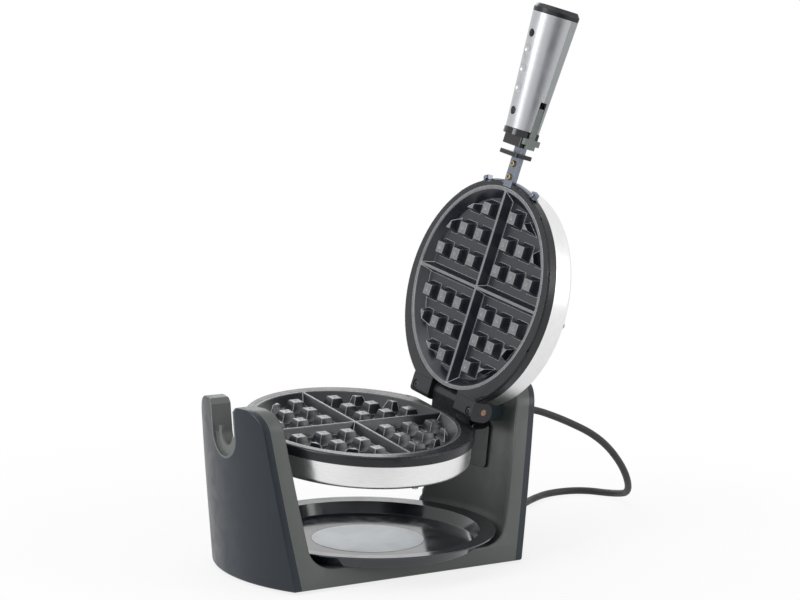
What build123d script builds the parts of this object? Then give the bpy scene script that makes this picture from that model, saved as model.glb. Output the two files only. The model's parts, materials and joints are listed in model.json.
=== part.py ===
"""A rotating waffle maker with its lid open.

A U-shaped stand carries two round plate housings on a pivot in its right tower. The lower housing hangs
from the pivot, and the upper one opens on a hinge and carries the handle. A drip tray lies on the stand's
floor. Millimetres, +X towards the pivot, +Y to the back, +Z up, origin on the table under the stand's centre.
"""

import os
from math import atan, cos, degrees, hypot, pi, radians, sin, sqrt, tan

from build123d import *

# Stand
FOOT_HEIGHT = 2.5
FOOT_RADIUS = 8.0
FOOT_X, FOOT_Y = 106.0, 56.0
STAND_TOP = 159.5
FLOOR_TOP = 19.5
OUTER_RADIUS, OUTER_FLARE = 140.5, 0.088
INNER_RADIUS, INNER_FLARE = 120.5, 0.092
HALF_DEPTH = 74.3
EDGE_SLOPE = 0.132
TOP_CORNER = 22.0
FLOOR_CORNER = 19.0
WALL = 3.0
COVER_LIP = 6.0
SEAM = 0.1
SKIRT_ROUND = 2.4
PLATE_BOTTOM, PLATE_TOP = 3.0, 5.0
BOSS_X, BOSS_Y = 95.0, 48.0
EDGE_ROUND = 1.6

# Cradle in the left tower
NOTCH_RADIUS = 19.0
LINER = 2.2
NOTCH_HEIGHT = 131.5
NOTCH_CORNER = 4.5
SADDLE_X, SADDLE_THICK = -147.3, 2.4
SADDLE_TOP = 130.5
SEAT_RADIUS = 9.3
FINGER_HEIGHT = 6.5

# Flip axis and plate housings
FLIP_HEIGHT = 131.0
FLIP_TILT = 6.7
PLATE_X = -15.5
RIM_RADIUS, RIM_SHIFT = 104.5, 4.5
RIM_CHORD = 97.0
RIM_CORNER = 5.0
RIM_DEPTH = 9.5
PARTING = 0.25
SHELL_RADIUS = 102.5
SHELL_CHORD = 95.5
SHELL_DEPTH = 21.5
SHELL_WALL = 1.0
SHELL_ROUND = 4.5
SHELL_SCREWS = ((4.5, 97.2), (4.5, -97.2), (-93.5, 0))
LENSES = ((-55.0, 12.0), (-55.0, -12.0))

# Grid plates
PLATE_LIP, PLATE_EDGE = 95.0, 92.0
PLATE_FLOOR_RADIUS = 84.5
PLATE_DEPTH = 9.5
PLATE_BACK = 12.5
LIP_DEPTH = 3.0
POST_OFFSETS = (20.5, 45.5, 70.5)
POST_BASE, POST_TOP = 16.0, 10.4
POST_REACH, POST_CUT = 86.0, 81.0
CREST = 0.4
RIDGE_BASE, RIDGE_TOP = 4.0, 1.2

# Hinge
HINGE_X, HINGE_Z = 104.0, 13.0
LID_ANGLE = 104.5
KNUCKLE = 9.5
BLOCK_HALF = 20.0
EAR_INNER, EAR_OUTER = 20.8, 50.5
PIN_RADIUS = 3.0
PIN_CLEARANCE = 0.06
EAR_SCREWS = ((106.0, 43.7), (106.0, -43.7))

# Pivot
SHAFT_RADIUS, SHAFT_BORE = 9.5, 6.5
BUSH_RADIUS = 13.0
SEAT_X = 137.5
ARM_TOP = -9.6
ARM_THICK = 2.6
ARM_END = 141.2
COVER_HALF = 28.0
COVER_TOP, COVER_BOTTOM = 14.6, -4.0
COVER_START, COVER_END = 115.6, 141.5

# Handle, measured along the lid's radius from the plate centre
NECK_START, NECK_END = 95.5, 170.0
NECK_DEPTH = 5.3
NECK_SCREWS = (105.0, 117.4)
COLLAR_START, COLLAR_GAP, COLLAR_END = 124.0, 133.6, 143.0
GRIP_START, GRIP_END, CAP_END = 149.0, 255.0, 263.0
GRIP_WALL = 2.2
CAP_ROUND = 4.0
SCREW_WELLS = (164.0, 235.0)
WELL_FLOOR = 9.0
DIMPLES = (185.0, 202.0, 220.0)
LATCH_INNER, LATCH_OUTER = 14.3, 17.6
FINGER_END, SLOT_END = 172.0, 178.0

# Drip tray
TRAY_RADIUS = 116.0
TRAY_GAP = 0.1
DISC_RADIUS = 51.0

# Power cord
CORD_RADIUS = 3.5
CORD_Y, CORD_Z = 30.0, 120.0
SLEEVE_END = 168.0
COIL_X, COIL_Y = 203.0, 140.0
COIL_TURNS = 3
COIL_INNER, COIL_PITCH = 32.35, 8.2
COIL_REST, COIL_LAYER = 4.8, 7.9
COIL_LEAD, COIL_TAIL = 7.0, 14.0
CORD_ROUTE = (
    (SLEEVE_END, CORD_Y, CORD_Z),
    (194, CORD_Y, CORD_Z),
    (238, 30, 104),
    (286, 31, 80.5),
    (322, 39, 46),
    (346, 58, 14),
    (355, 94, 4.0),
    (335, 125, 4.2),
    (298, 130, 4.0),
    (264, 113, 4.4),
    (240, COIL_Y - COIL_INNER - COIL_PITCH * COIL_TURNS / 2, COIL_REST),
    (COIL_X + COIL_LEAD, COIL_Y - COIL_INNER - COIL_PITCH * COIL_TURNS / 2, COIL_REST),
)

BUILT = {}


def keep(name, part, frame=Plane.XY):
    """Place a finished piece by its frame, label it and remember it for export."""
    placed = frame.location * part
    placed.label = name
    BUILT[name] = placed


def outer_at(z):
    """Outer radius of the stand's towers at height z."""
    return OUTER_RADIUS + OUTER_FLARE * (z - FOOT_HEIGHT)


def inner_at(z):
    """Inner radius of the stand's towers at height z."""
    return INNER_RADIUS + INNER_FLARE * (z - FOOT_HEIGHT)


def edge_at(z):
    """Half depth of the stand at height z."""
    return HALF_DEPTH - EDGE_SLOPE * (z - FOOT_HEIGHT)


# Working planes of the tilted housings
FLIP = Plane(
    origin=(PLATE_X, 0, FLIP_HEIGHT),
    x_dir=(1, 0, 0),
    z_dir=(0, -sin(radians(FLIP_TILT)), cos(radians(FLIP_TILT))),
)
LOWER = Plane(origin=FLIP.origin, x_dir=FLIP.x_dir, z_dir=-FLIP.z_dir)


def opened_frame():
    """The plane of the closed lid, turned open about the hinge axis."""
    turn = radians(LID_ANGLE)
    across = FLIP.x_dir * cos(turn) - FLIP.z_dir * sin(turn)
    inward = FLIP.x_dir * sin(turn) + FLIP.z_dir * cos(turn)
    hinge = FLIP.origin + FLIP.x_dir * HINGE_X + FLIP.z_dir * HINGE_Z
    return Plane(origin=hinge - across * HINGE_X - inward * HINGE_Z, x_dir=across, z_dir=inward)


LID = opened_frame()
HOME = Plane.XY


def section(frame, y=0.0):
    """The plane through a frame's x and z axes, at distance y along its y axis."""
    return Plane(origin=frame.origin + frame.y_dir * y, x_dir=frame.x_dir, z_dir=-frame.y_dir)


def facing(frame, x):
    """The plane square to a frame's x axis at distance x, with its own x axis along the frame's y."""
    return Plane(origin=frame.origin + frame.x_dir * x, x_dir=frame.y_dir, z_dir=frame.x_dir)


def spindle(frame):
    """The axis through a frame's origin along its z direction."""
    return Axis(frame.origin, frame.z_dir)


# Stand
def cone(bottom_radius, top_radius, low, high):
    """A solid cone frustum about the stand's centre line."""
    with BuildPart() as frustum:
        with BuildSketch(Plane.XZ):
            with BuildLine():
                Polyline((0, low), (bottom_radius, low), (top_radius, high), (0, high), close=True)
            make_face()
        revolve(axis=Axis.Z)
    return frustum.part


def side_profile(inset, low, high):
    """The stand's outline seen from the side, as a prism along X."""
    corner = TOP_CORNER - inset
    with BuildPart() as prism:
        with BuildSketch(Plane.YZ) as outline:
            with BuildLine():
                Polyline(
                    (edge_at(low) - inset, low),
                    (edge_at(high) - inset, high),
                    (inset - edge_at(high), high),
                    (inset - edge_at(low), low),
                    close=True,
                )
            make_face()
            fillet(outline.vertices().group_by(Axis.Y)[-1], corner)
        extrude(amount=200, both=True)
    return prism.part


def valley(growth):
    """The hollow between the towers, grown outwards by a wall thickness."""
    low = FLOOR_TOP - growth
    high = STAND_TOP + 10
    with BuildPart() as hollow:
        with BuildSketch(Plane.XZ) as outline:
            with BuildLine():
                Polyline(
                    (0, low),
                    (inner_at(low) + growth, low),
                    (inner_at(high) + growth, high),
                    (0, high),
                    close=True,
                )
            make_face()
            corner = outline.vertices().group_by(Axis.Y)[0].sort_by(Axis.X)[-1]
            fillet(corner, FLOOR_CORNER + growth)
        revolve(axis=Axis.Z)
    return hollow.part


def notch_prism(radius, start, end, corner=0.0):
    """The cradle's U shape as a prism along X through the left tower."""
    with BuildPart() as prism:
        with BuildSketch(Plane.YZ.offset(start)):
            with Locations((0, NOTCH_HEIGHT)):
                Circle(radius)
            with Locations((0, NOTCH_HEIGHT + 20)):
                Rectangle(2 * radius, 40)
            if corner:
                for side in (-1, 1):
                    with BuildLine():
                        Polyline(
                            (side * (radius - 0.5), STAND_TOP - corner),
                            (side * radius, STAND_TOP - corner),
                            (side * (radius + corner), STAND_TOP + 0.1),
                            (side * (radius - 0.5), STAND_TOP + 0.1),
                            close=True,
                        )
                    make_face()
        extrude(amount=end - start)
    return prism.part


def rim_edges(block):
    """The edges where the stand's front, back and top meet its round walls and its floor."""
    bands = block.faces().filter_by(lambda face: abs(face.normal_at().X) < 0.01)
    bands = bands.filter_by(lambda face: face.center().Z > FOOT_HEIGHT + 1)
    bands = bands.filter_by(lambda face: face.center().Z > FLOOR_TOP + 1 or abs(face.normal_at().Z) < 0.5)
    edges = [edge for face in bands for edge in face.edges()]
    edges = [edge for edge in edges if sum(edge.is_same(other) for other in edges) == 1]
    return [edge for edge in edges if edge.center().Z > FOOT_HEIGHT + SKIRT_ROUND + 0.5]


def stand_block():
    """The whole stand as one solid U, before it is hollowed and parted."""
    with BuildPart() as block:
        add(cone(outer_at(FOOT_HEIGHT), outer_at(STAND_TOP), FOOT_HEIGHT, STAND_TOP))
        add(side_profile(0, FOOT_HEIGHT, STAND_TOP), mode=Mode.INTERSECT)
        add(valley(0), mode=Mode.SUBTRACT)
        fillet(block.faces().sort_by(Axis.Z)[0].edges(), SKIRT_ROUND)
        fillet(rim_edges(block), EDGE_ROUND)
    return block.part


def stand_cavity():
    """The space inside the stand's shells, open towards the bottom plate."""
    low, high = FOOT_HEIGHT - 1, STAND_TOP - WALL
    with BuildPart() as cavity:
        add(cone(outer_at(low) - WALL, outer_at(high) - WALL, low, high))
        add(side_profile(WALL, low, high), mode=Mode.INTERSECT)
        add(valley(WALL), mode=Mode.SUBTRACT)
    return cavity.part


def cover_cone(offset):
    """The cone that parts the towers' outer covers from the frame."""
    low, high = FOOT_HEIGHT - 2, STAND_TOP + 2
    return cone(outer_at(low) - offset, outer_at(high) - offset, low, high)


def x_side(sign):
    """Everything on one side of the stand's middle."""
    with BuildPart() as half:
        with Locations((sign * 120, 0, 90)):
            Box(200, 400, 240)
    return half.part


BLOCK = stand_block()
CAVITY = stand_cavity()
NOTCH = notch_prism(NOTCH_RADIUS + LINER, -160, -100, NOTCH_CORNER)
EXIT_X = sqrt(outer_at(CORD_Z) ** 2 - CORD_Y**2)


def build_stand_frame():
    """The moulding that holds the floor, the inner walls and the front and back bands."""
    corners = [(x, y) for x in (-BOSS_X, BOSS_X) for y in (-BOSS_Y, BOSS_Y)]
    with BuildPart() as frame:
        add(BLOCK)
        add(CAVITY, mode=Mode.SUBTRACT)
        with BuildSketch(Plane.YZ.offset(SEAT_X - 11)):
            with Locations((0, FLIP_HEIGHT)):
                Circle(BUSH_RADIUS + 4)
        extrude(amount=11)
        add(valley(0), mode=Mode.SUBTRACT)
        with BuildSketch(Plane.XY.offset(PLATE_TOP)):
            with Locations(*corners):
                Circle(4.5)
        extrude(amount=FLOOR_TOP - WALL - PLATE_TOP + 0.5)
        add(cover_cone(COVER_LIP), mode=Mode.INTERSECT)
        add(NOTCH, mode=Mode.SUBTRACT)
        with BuildSketch(Plane.YZ.offset(SEAT_X - 30)):
            with Locations((0, FLIP_HEIGHT)):
                Circle(BUSH_RADIUS)
        extrude(amount=32, mode=Mode.SUBTRACT)
        with BuildSketch(Plane.XY.offset(PLATE_TOP)):
            with Locations(*corners):
                Circle(1.5)
        extrude(amount=10, mode=Mode.SUBTRACT)
    keep("stand_frame", frame.part)


def build_cover(name, sign):
    """One tower's outer shell, with the lips that close the front, back and top."""
    with BuildPart() as cover:
        if sign < 0:
            add(BLOCK)
        else:
            mirror(BLOCK, about=Plane.YZ)
        add(CAVITY, mode=Mode.SUBTRACT)
        add(cover_cone(COVER_LIP - SEAM), mode=Mode.SUBTRACT)
        add(x_side(sign), mode=Mode.INTERSECT)
        if sign < 0:
            add(NOTCH, mode=Mode.SUBTRACT)
        else:
            with BuildSketch(Plane.YZ.offset(130)):
                with Locations((CORD_Y, CORD_Z)):
                    Circle(6.0)
            extrude(amount=40, mode=Mode.SUBTRACT)
    keep(name, cover.part)


def build_cradle():
    """The U-shaped liner of the left tower's notch and the saddle that the closed neck turns in."""
    with BuildPart() as liner:
        add(BLOCK)
        add(notch_prism(NOTCH_RADIUS + LINER - SEAM, -160, -100, NOTCH_CORNER), mode=Mode.INTERSECT)
        add(notch_prism(NOTCH_RADIUS, -160, -100, NOTCH_CORNER), mode=Mode.SUBTRACT)
    with BuildPart() as saddle:
        with BuildSketch(Plane.YZ.offset(SADDLE_X)):
            with Locations((0, NOTCH_HEIGHT)):
                Circle(NOTCH_RADIUS + 0.5)
            with Locations((0, SADDLE_TOP + 20)):
                Rectangle(60, 40, mode=Mode.SUBTRACT)
            with Locations((SEAT_RADIUS + 2.6, SADDLE_TOP)):
                Rectangle(4.6, 2 * FINGER_HEIGHT)
            with Locations((0, FLIP_HEIGHT)):
                Circle(SEAT_RADIUS, mode=Mode.SUBTRACT)
        extrude(amount=SADDLE_THICK)
        add(liner.part)
    keep("cradle", saddle.part)


def build_inner_cover():
    """The thin panel over the wiring on the right tower's inner wall."""
    low, high = 73.5, 115.5
    with BuildPart() as panel:
        add(cone(inner_at(low - 5), inner_at(high + 5), low - 5, high + 5))
        add(cone(inner_at(low - 5) - 2, inner_at(high + 5) - 2, low - 5, high + 5), mode=Mode.SUBTRACT)
        with BuildSketch(Plane.YZ.offset(90)) as outline:
            with Locations((21, (low + high) / 2)):
                RectangleRounded(50, high - low, 5)
        extrude(amount=60, mode=Mode.INTERSECT)
    keep("inner_cover", panel.part)


def build_base():
    """The bottom plate, its rubber feet and the screws that hold it."""
    feet = [(x, y) for x in (-FOOT_X, FOOT_X) for y in (-FOOT_Y, FOOT_Y)]
    corners = [(x, y) for x in (-BOSS_X, BOSS_X) for y in (-BOSS_Y, BOSS_Y)]
    fit = WALL + 0.4
    with BuildPart() as plate:
        with BuildSketch(Plane.XY.offset(PLATE_BOTTOM)):
            Circle(outer_at(PLATE_BOTTOM) - fit)
            Rectangle(400, 2 * (edge_at(PLATE_BOTTOM) - fit), mode=Mode.INTERSECT)
            with Locations(*feet):
                Circle(3.05, mode=Mode.SUBTRACT)
            with Locations(*corners):
                Circle(1.7, mode=Mode.SUBTRACT)
        extrude(amount=PLATE_TOP - PLATE_BOTTOM)
        with BuildSketch(Plane.XY.offset(PLATE_BOTTOM)):
            with Locations(*corners):
                Circle(3.3)
        extrude(amount=1.1, mode=Mode.SUBTRACT)
    keep("bottom_plate", plate.part)

    with BuildPart() as pads:
        with BuildSketch(Plane.XY.offset(PLATE_BOTTOM)):
            with Locations(*feet):
                Circle(FOOT_RADIUS)
        extrude(amount=-PLATE_BOTTOM, taper=8)
        with BuildSketch(Plane.XY.offset(PLATE_BOTTOM)):
            with Locations(*feet):
                Circle(3.0)
        extrude(amount=PLATE_TOP - PLATE_BOTTOM)
    keep("feet", pads.part)
    build_screws("bottom_screws", Plane.XY.offset(PLATE_BOTTOM + 1.1), corners, 3.0, 1.1, 1.4, 9.0)


def build_screws(name, seat, points, head, head_height, shank, length, frame=Plane.XY):
    """A group of round-headed screws: heads below the seat plane, shanks above it."""
    with BuildPart() as screws:
        with BuildSketch(seat):
            with Locations(*points):
                Circle(head)
        extrude(amount=-head_height)
        with BuildSketch(seat):
            with Locations(*points):
                Circle(shank)
        extrude(amount=length)
    keep(name, screws.part, frame)


def build_pivot_bush():
    """The flanged bush in the right tower that the hollow shaft turns in."""
    with BuildPart() as bush:
        with BuildSketch(Plane.YZ.offset(SEAT_X - 7)):
            with Locations((0, FLIP_HEIGHT)):
                Circle(BUSH_RADIUS - 0.05)
        extrude(amount=7)
        with BuildSketch(Plane.YZ.offset(SEAT_X)):
            with Locations((0, FLIP_HEIGHT)):
                Circle(BUSH_RADIUS + 3)
        extrude(amount=2.5)
        with BuildSketch(Plane.YZ.offset(SEAT_X - 7)):
            with Locations((0, FLIP_HEIGHT)):
                Circle(SHAFT_RADIUS + PIN_CLEARANCE)
        extrude(amount=9.5, mode=Mode.SUBTRACT)
    keep("pivot_bush", bush.part)


def build_wiring():
    """The terminal block in the base and the strain relief where the cord leaves the right tower."""
    with BuildPart() as block:
        with BuildSketch(Plane.XY.offset(PLATE_TOP)):
            with Locations((112, 0)):
                Rectangle(14, 30)
        extrude(amount=8)
        with BuildSketch(Plane.XY.offset(PLATE_TOP + 8)):
            with Locations((112, 0)):
                with GridLocations(0, 9, 1, 3):
                    Rectangle(14, 6)
        extrude(amount=1.5)
    keep("terminal_block", block.part)

    with BuildPart() as relief:
        with BuildSketch(Plane.YZ.offset(EXIT_X - 5)):
            with Locations((CORD_Y, CORD_Z)):
                Circle(5.9)
        extrude(amount=8)
        with BuildSketch(Plane.YZ.offset(EXIT_X + 1.8)) as collar:
            with Locations((CORD_Y, CORD_Z)):
                Circle(7.4)
        extrude(amount=1.8)
        with BuildSketch(Plane.YZ.offset(EXIT_X + 3.6)):
            with Locations((CORD_Y, CORD_Z)):
                Circle(5.4)
        with BuildSketch(Plane.YZ.offset(SLEEVE_END)):
            with Locations((CORD_Y, CORD_Z)):
                Circle(4.3)
        loft()
    keep("strain_relief", relief.part)


# Halves of the waffle housing
def housing_outline(plane, radius, chord, corner):
    """A circle cut straight along the hinge side, with rounded corners."""
    with BuildSketch(plane) as outline:
        with Locations((RIM_SHIFT, 0)):
            Circle(radius)
        with Locations((chord, 0)):
            Rectangle(100, 250, align=(Align.MIN, Align.CENTER), mode=Mode.SUBTRACT)
        fillet(outline.vertices(), corner)
    return outline.sketch


def drum(frame, inset):
    """The steel shell's solid form, drawn in by a wall thickness."""
    with BuildPart() as form:
        outline = housing_outline(
            frame.offset(RIM_DEPTH), SHELL_RADIUS - inset, SHELL_CHORD - inset, RIM_CORNER - inset
        )
        add(outline)
        extrude(amount=SHELL_DEPTH - inset)
        fillet(form.faces().sort_by(spindle(frame))[-1].edges(), SHELL_ROUND - inset)
    return form.part


def make_bosses(frame):
    """The screw bosses that reach from the rim to the shell's bottom."""
    with BuildPart() as bosses:
        with BuildSketch(frame.offset(RIM_DEPTH)):
            with Locations(*SHELL_SCREWS):
                Circle(3.4)
        extrude(amount=SHELL_DEPTH)
        add(drum(frame, SHELL_WALL + 0.1), mode=Mode.INTERSECT)
    return bosses.part


def make_rim(frame):
    """The black plastic rim that carries a plate on its ledge and the steel shell on its spigot."""
    depth = RIM_DEPTH - PARTING
    with BuildPart() as rim:
        add(housing_outline(frame.offset(PARTING), RIM_RADIUS, RIM_CHORD, RIM_CORNER))
        extrude(amount=depth)
        fillet(rim.faces().sort_by(spindle(frame))[0].edges(), 2.0)
        add(housing_outline(frame.offset(RIM_DEPTH), SHELL_RADIUS - 1.3, SHELL_CHORD - 1.3, 4.4))
        extrude(amount=4.5)
        with BuildSketch(frame.offset(PARTING)):
            Circle(PLATE_LIP + 0.1)
        extrude(amount=LIP_DEPTH, mode=Mode.SUBTRACT)
        with BuildSketch(frame.offset(PARTING)):
            Circle(PLATE_LIP - 1.7)
        extrude(amount=RIM_DEPTH + 10, mode=Mode.SUBTRACT)
        add(housing_outline(frame.offset(RIM_DEPTH), SHELL_RADIUS - 3.8, SHELL_CHORD - 3.8, 2.0))
        extrude(amount=5, mode=Mode.SUBTRACT)
        add(make_bosses(frame))
        with BuildSketch(frame.offset(RIM_DEPTH + 4)):
            with Locations(*SHELL_SCREWS):
                Circle(1.3)
        extrude(amount=SHELL_DEPTH, mode=Mode.SUBTRACT)
    return rim.part


def make_shell(frame):
    """The drawn steel shell of one half."""
    with BuildPart() as shell:
        add(drum(frame, 0))
        add(drum(frame, SHELL_WALL), mode=Mode.SUBTRACT)
        with BuildSketch(frame.offset(RIM_DEPTH + 10)):
            with Locations(*SHELL_SCREWS):
                Circle(1.7)
        extrude(amount=SHELL_DEPTH, mode=Mode.SUBTRACT)
    return shell.part


def make_posts(frame):
    """The pyramids that press the waffle's pockets, cut back where they meet the round wall."""
    offsets = [sign * offset for offset in POST_OFFSETS for sign in (-1, 1)]
    centres = [(x, y) for x in offsets for y in offsets if hypot(x, y) < POST_REACH]
    height = PLATE_DEPTH - CREST
    slope = degrees(atan((POST_BASE - POST_TOP) / 2 / height))
    with BuildPart() as posts:
        with BuildSketch(frame.offset(PLATE_DEPTH)):
            with Locations(*centres):
                Rectangle(POST_BASE, POST_BASE)
        extrude(amount=-height, taper=slope)
        with BuildSketch(frame):
            Circle(POST_CUT)
        extrude(amount=PLATE_DEPTH, mode=Mode.INTERSECT)
    return posts.part


def make_ridges(frame):
    """The two crossed ridges that divide the waffle into quarters."""
    reach = PLATE_EDGE + 2
    profile = (
        (-RIDGE_BASE, PLATE_DEPTH),
        (RIDGE_BASE, PLATE_DEPTH),
        (RIDGE_TOP, CREST),
        (-RIDGE_TOP, CREST),
    )
    with BuildPart() as ridges:
        for plane in (facing(frame, -reach), section(frame, reach)):
            with BuildSketch(plane):
                Polygon(*profile, align=None)
            extrude(amount=2 * reach)
        with BuildSketch(section(frame)):
            with BuildLine():
                Polyline(
                    (0, 0), (PLATE_EDGE + 0.5, 0), (PLATE_FLOOR_RADIUS + 0.5, PLATE_DEPTH),
                    (0, PLATE_DEPTH), close=True,
                )
            make_face()
        revolve(axis=spindle(frame), mode=Mode.INTERSECT)
    return ridges.part


def make_plate(frame):
    """A cast grid plate: a dished disc with a lip, posts and crossed ridges."""
    with BuildPart() as plate:
        with BuildSketch(section(frame)):
            with BuildLine():
                Polyline(
                    (0, PLATE_DEPTH),
                    (PLATE_FLOOR_RADIUS, PLATE_DEPTH),
                    (PLATE_EDGE, PARTING),
                    (PLATE_LIP, PARTING),
                    (PLATE_LIP, PARTING + LIP_DEPTH),
                    (PLATE_EDGE + 0.6, PARTING + LIP_DEPTH),
                    (PLATE_FLOOR_RADIUS + 3, PLATE_BACK),
                    (0, PLATE_BACK),
                    close=True,
                )
            make_face()
        revolve(axis=spindle(frame))
        add(make_posts(frame))
        add(make_ridges(frame))
    return plate.part


def make_heater(frame):
    """The ring-shaped heating element against the back of a plate."""
    with BuildPart() as ring:
        with BuildSketch(section(frame)):
            with Locations((60, PLATE_BACK + 3)):
                RectangleRounded(8, 6, 1.5)
        revolve(axis=spindle(frame), revolution_arc=320)
    return ring.part


def make_thermostat(frame):
    """The round thermostat in the middle of a plate's back."""
    with BuildPart() as disc:
        with BuildSketch(frame.offset(PLATE_BACK)):
            Circle(9)
        extrude(amount=4)
        with BuildSketch(frame.offset(PLATE_BACK + 4)):
            Circle(6.5)
        extrude(amount=4)
    return disc.part


PLATE = make_plate(HOME)
RIM = make_rim(HOME)
SHELL = make_shell(HOME)


def build_half(name, frame):
    """The pieces that the upper and the lower half have alike, without the rim."""
    keep(f"{name}_grid_plate", PLATE, frame)
    keep(f"{name}_heater", make_heater(HOME), frame)
    keep(f"{name}_thermostat", make_thermostat(HOME), frame)
    seat = Plane(origin=(0, 0, RIM_DEPTH + SHELL_DEPTH), x_dir=(1, 0, 0), z_dir=(0, 0, -1))
    build_screws(f"{name}_screws", seat, SHELL_SCREWS, 3.0, 1.5, 1.2, 14, frame)


def knuckle(frame, start, end, left, right, base, corner):
    """A hinge lug with a rounded top and the pin's bore, from one y to another."""
    top = HINGE_Z + KNUCKLE
    with BuildPart() as lug:
        with BuildSketch(section(frame, end)) as outline:
            with BuildLine():
                Polyline((left, base), (right, base), (right, top), (left, top), close=True)
            make_face()
            fillet(outline.vertices().group_by(Axis.Y)[-1], KNUCKLE - 1)
            if corner:
                fillet(outline.vertices().group_by(Axis.Y)[0].sort_by(Axis.X)[-1], corner)
        extrude(amount=end - start)
        with BuildSketch(section(frame, end)):
            with Locations((HINGE_X, HINGE_Z)):
                Circle(PIN_RADIUS + PIN_CLEARANCE)
        extrude(amount=end - start, mode=Mode.SUBTRACT)
    return lug.part


def build_lower_half():
    """The lower housing with its tab for the hinge block and the pivot's arm."""
    build_half("lower", LOWER)
    keep("lower_shell", SHELL, LOWER)
    with BuildPart() as rim:
        add(RIM)
        with BuildSketch(HOME.offset(PARTING)) as tab:
            with Locations((RIM_CHORD - 1, 0)):
                Rectangle(17.5, 2 * BLOCK_HALF, align=(Align.MIN, Align.CENTER))
            fillet(tab.vertices().group_by(Axis.X)[-1], 3)
        extrude(amount=RIM_DEPTH - PARTING)
    keep("lower_rim", rim.part, LOWER)

    keep("hinge_block", knuckle(HOME, -BLOCK_HALF, BLOCK_HALF, 95.0, 113.5, -PARTING, 0), FLIP)
    with BuildPart() as pin:
        with BuildSketch(section(HOME, EAR_OUTER)):
            with Locations((HINGE_X, HINGE_Z)):
                Circle(PIN_RADIUS)
        extrude(amount=2 * EAR_OUTER)
    keep("hinge_pin", pin.part, FLIP)


def build_pivot():
    """The steel arm, shaft and covers that hang the lower housing on the right tower."""
    with BuildPart() as arm:
        with BuildSketch(HOME.offset(ARM_TOP - ARM_THICK)):
            with Locations((98, 0)):
                Rectangle(18, 2 * BLOCK_HALF, align=(Align.MIN, Align.CENTER))
            with Locations((115, 0)):
                Rectangle(ARM_END - 115, 22, align=(Align.MIN, Align.CENTER))
        extrude(amount=ARM_THICK)
        with BuildSketch(facing(HOME, ARM_END - ARM_THICK)):
            Circle(12)
            with Locations((0, ARM_TOP)):
                Rectangle(22, 10)
            with Locations((0, ARM_TOP - ARM_THICK)):
                Rectangle(40, 20, align=(Align.CENTER, Align.MAX), mode=Mode.SUBTRACT)
            Circle(SHAFT_BORE, mode=Mode.SUBTRACT)
        extrude(amount=ARM_THICK)
    keep("pivot_arm", arm.part, FLIP)

    shaft_end = SEAT_X + 8 - PLATE_X
    with BuildPart() as shaft:
        with BuildSketch(facing(HOME, ARM_END)):
            Circle(SHAFT_RADIUS)
            Circle(SHAFT_BORE, mode=Mode.SUBTRACT)
        extrude(amount=shaft_end - ARM_END)
    keep("pivot_shaft", shaft.part, FLIP)

    with BuildPart() as ring:
        with BuildSketch(facing(HOME, SEAT_X + 2.7 - PLATE_X)):
            Circle(14)
            Circle(SHAFT_RADIUS, mode=Mode.SUBTRACT)
        extrude(amount=3)
    keep("shaft_ring", ring.part, FLIP)

    with BuildPart() as hub:
        with BuildSketch(facing(HOME, 119)):
            Circle(20)
            Circle(17.8, mode=Mode.SUBTRACT)
            with Locations((0, -15)):
                Rectangle(6, 5.6)
            with Locations((0, -4.3)):
                Rectangle(50, 40, align=(Align.CENTER, Align.MIN), mode=Mode.SUBTRACT)
        extrude(amount=17.5)
    keep("pivot_hub", hub.part, FLIP)

    with BuildPart() as cover:
        with BuildSketch(facing(HOME, COVER_START)):
            with Locations((0, COVER_BOTTOM)):
                Rectangle(2 * COVER_HALF, COVER_TOP - COVER_BOTTOM, align=(Align.CENTER, Align.MIN))
        extrude(amount=COVER_END - COVER_START)
        fillet(cover.faces().sort_by(spindle(HOME))[-1].edges(), 1.2)
        with BuildSketch(facing(HOME, COVER_START + 2)):
            with Locations((0, COVER_BOTTOM)):
                Rectangle(
                    2 * COVER_HALF - 4, COVER_TOP - COVER_BOTTOM - 2, align=(Align.CENTER, Align.MIN)
                )
        extrude(amount=COVER_END, mode=Mode.SUBTRACT)
        with BuildSketch(HOME.offset(ARM_TOP)):
            with Locations((124, -7), (124, 7)):
                Circle(3)
        extrude(amount=COVER_TOP - ARM_TOP - 1)
    keep("pivot_cover", cover.part, FLIP)


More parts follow.
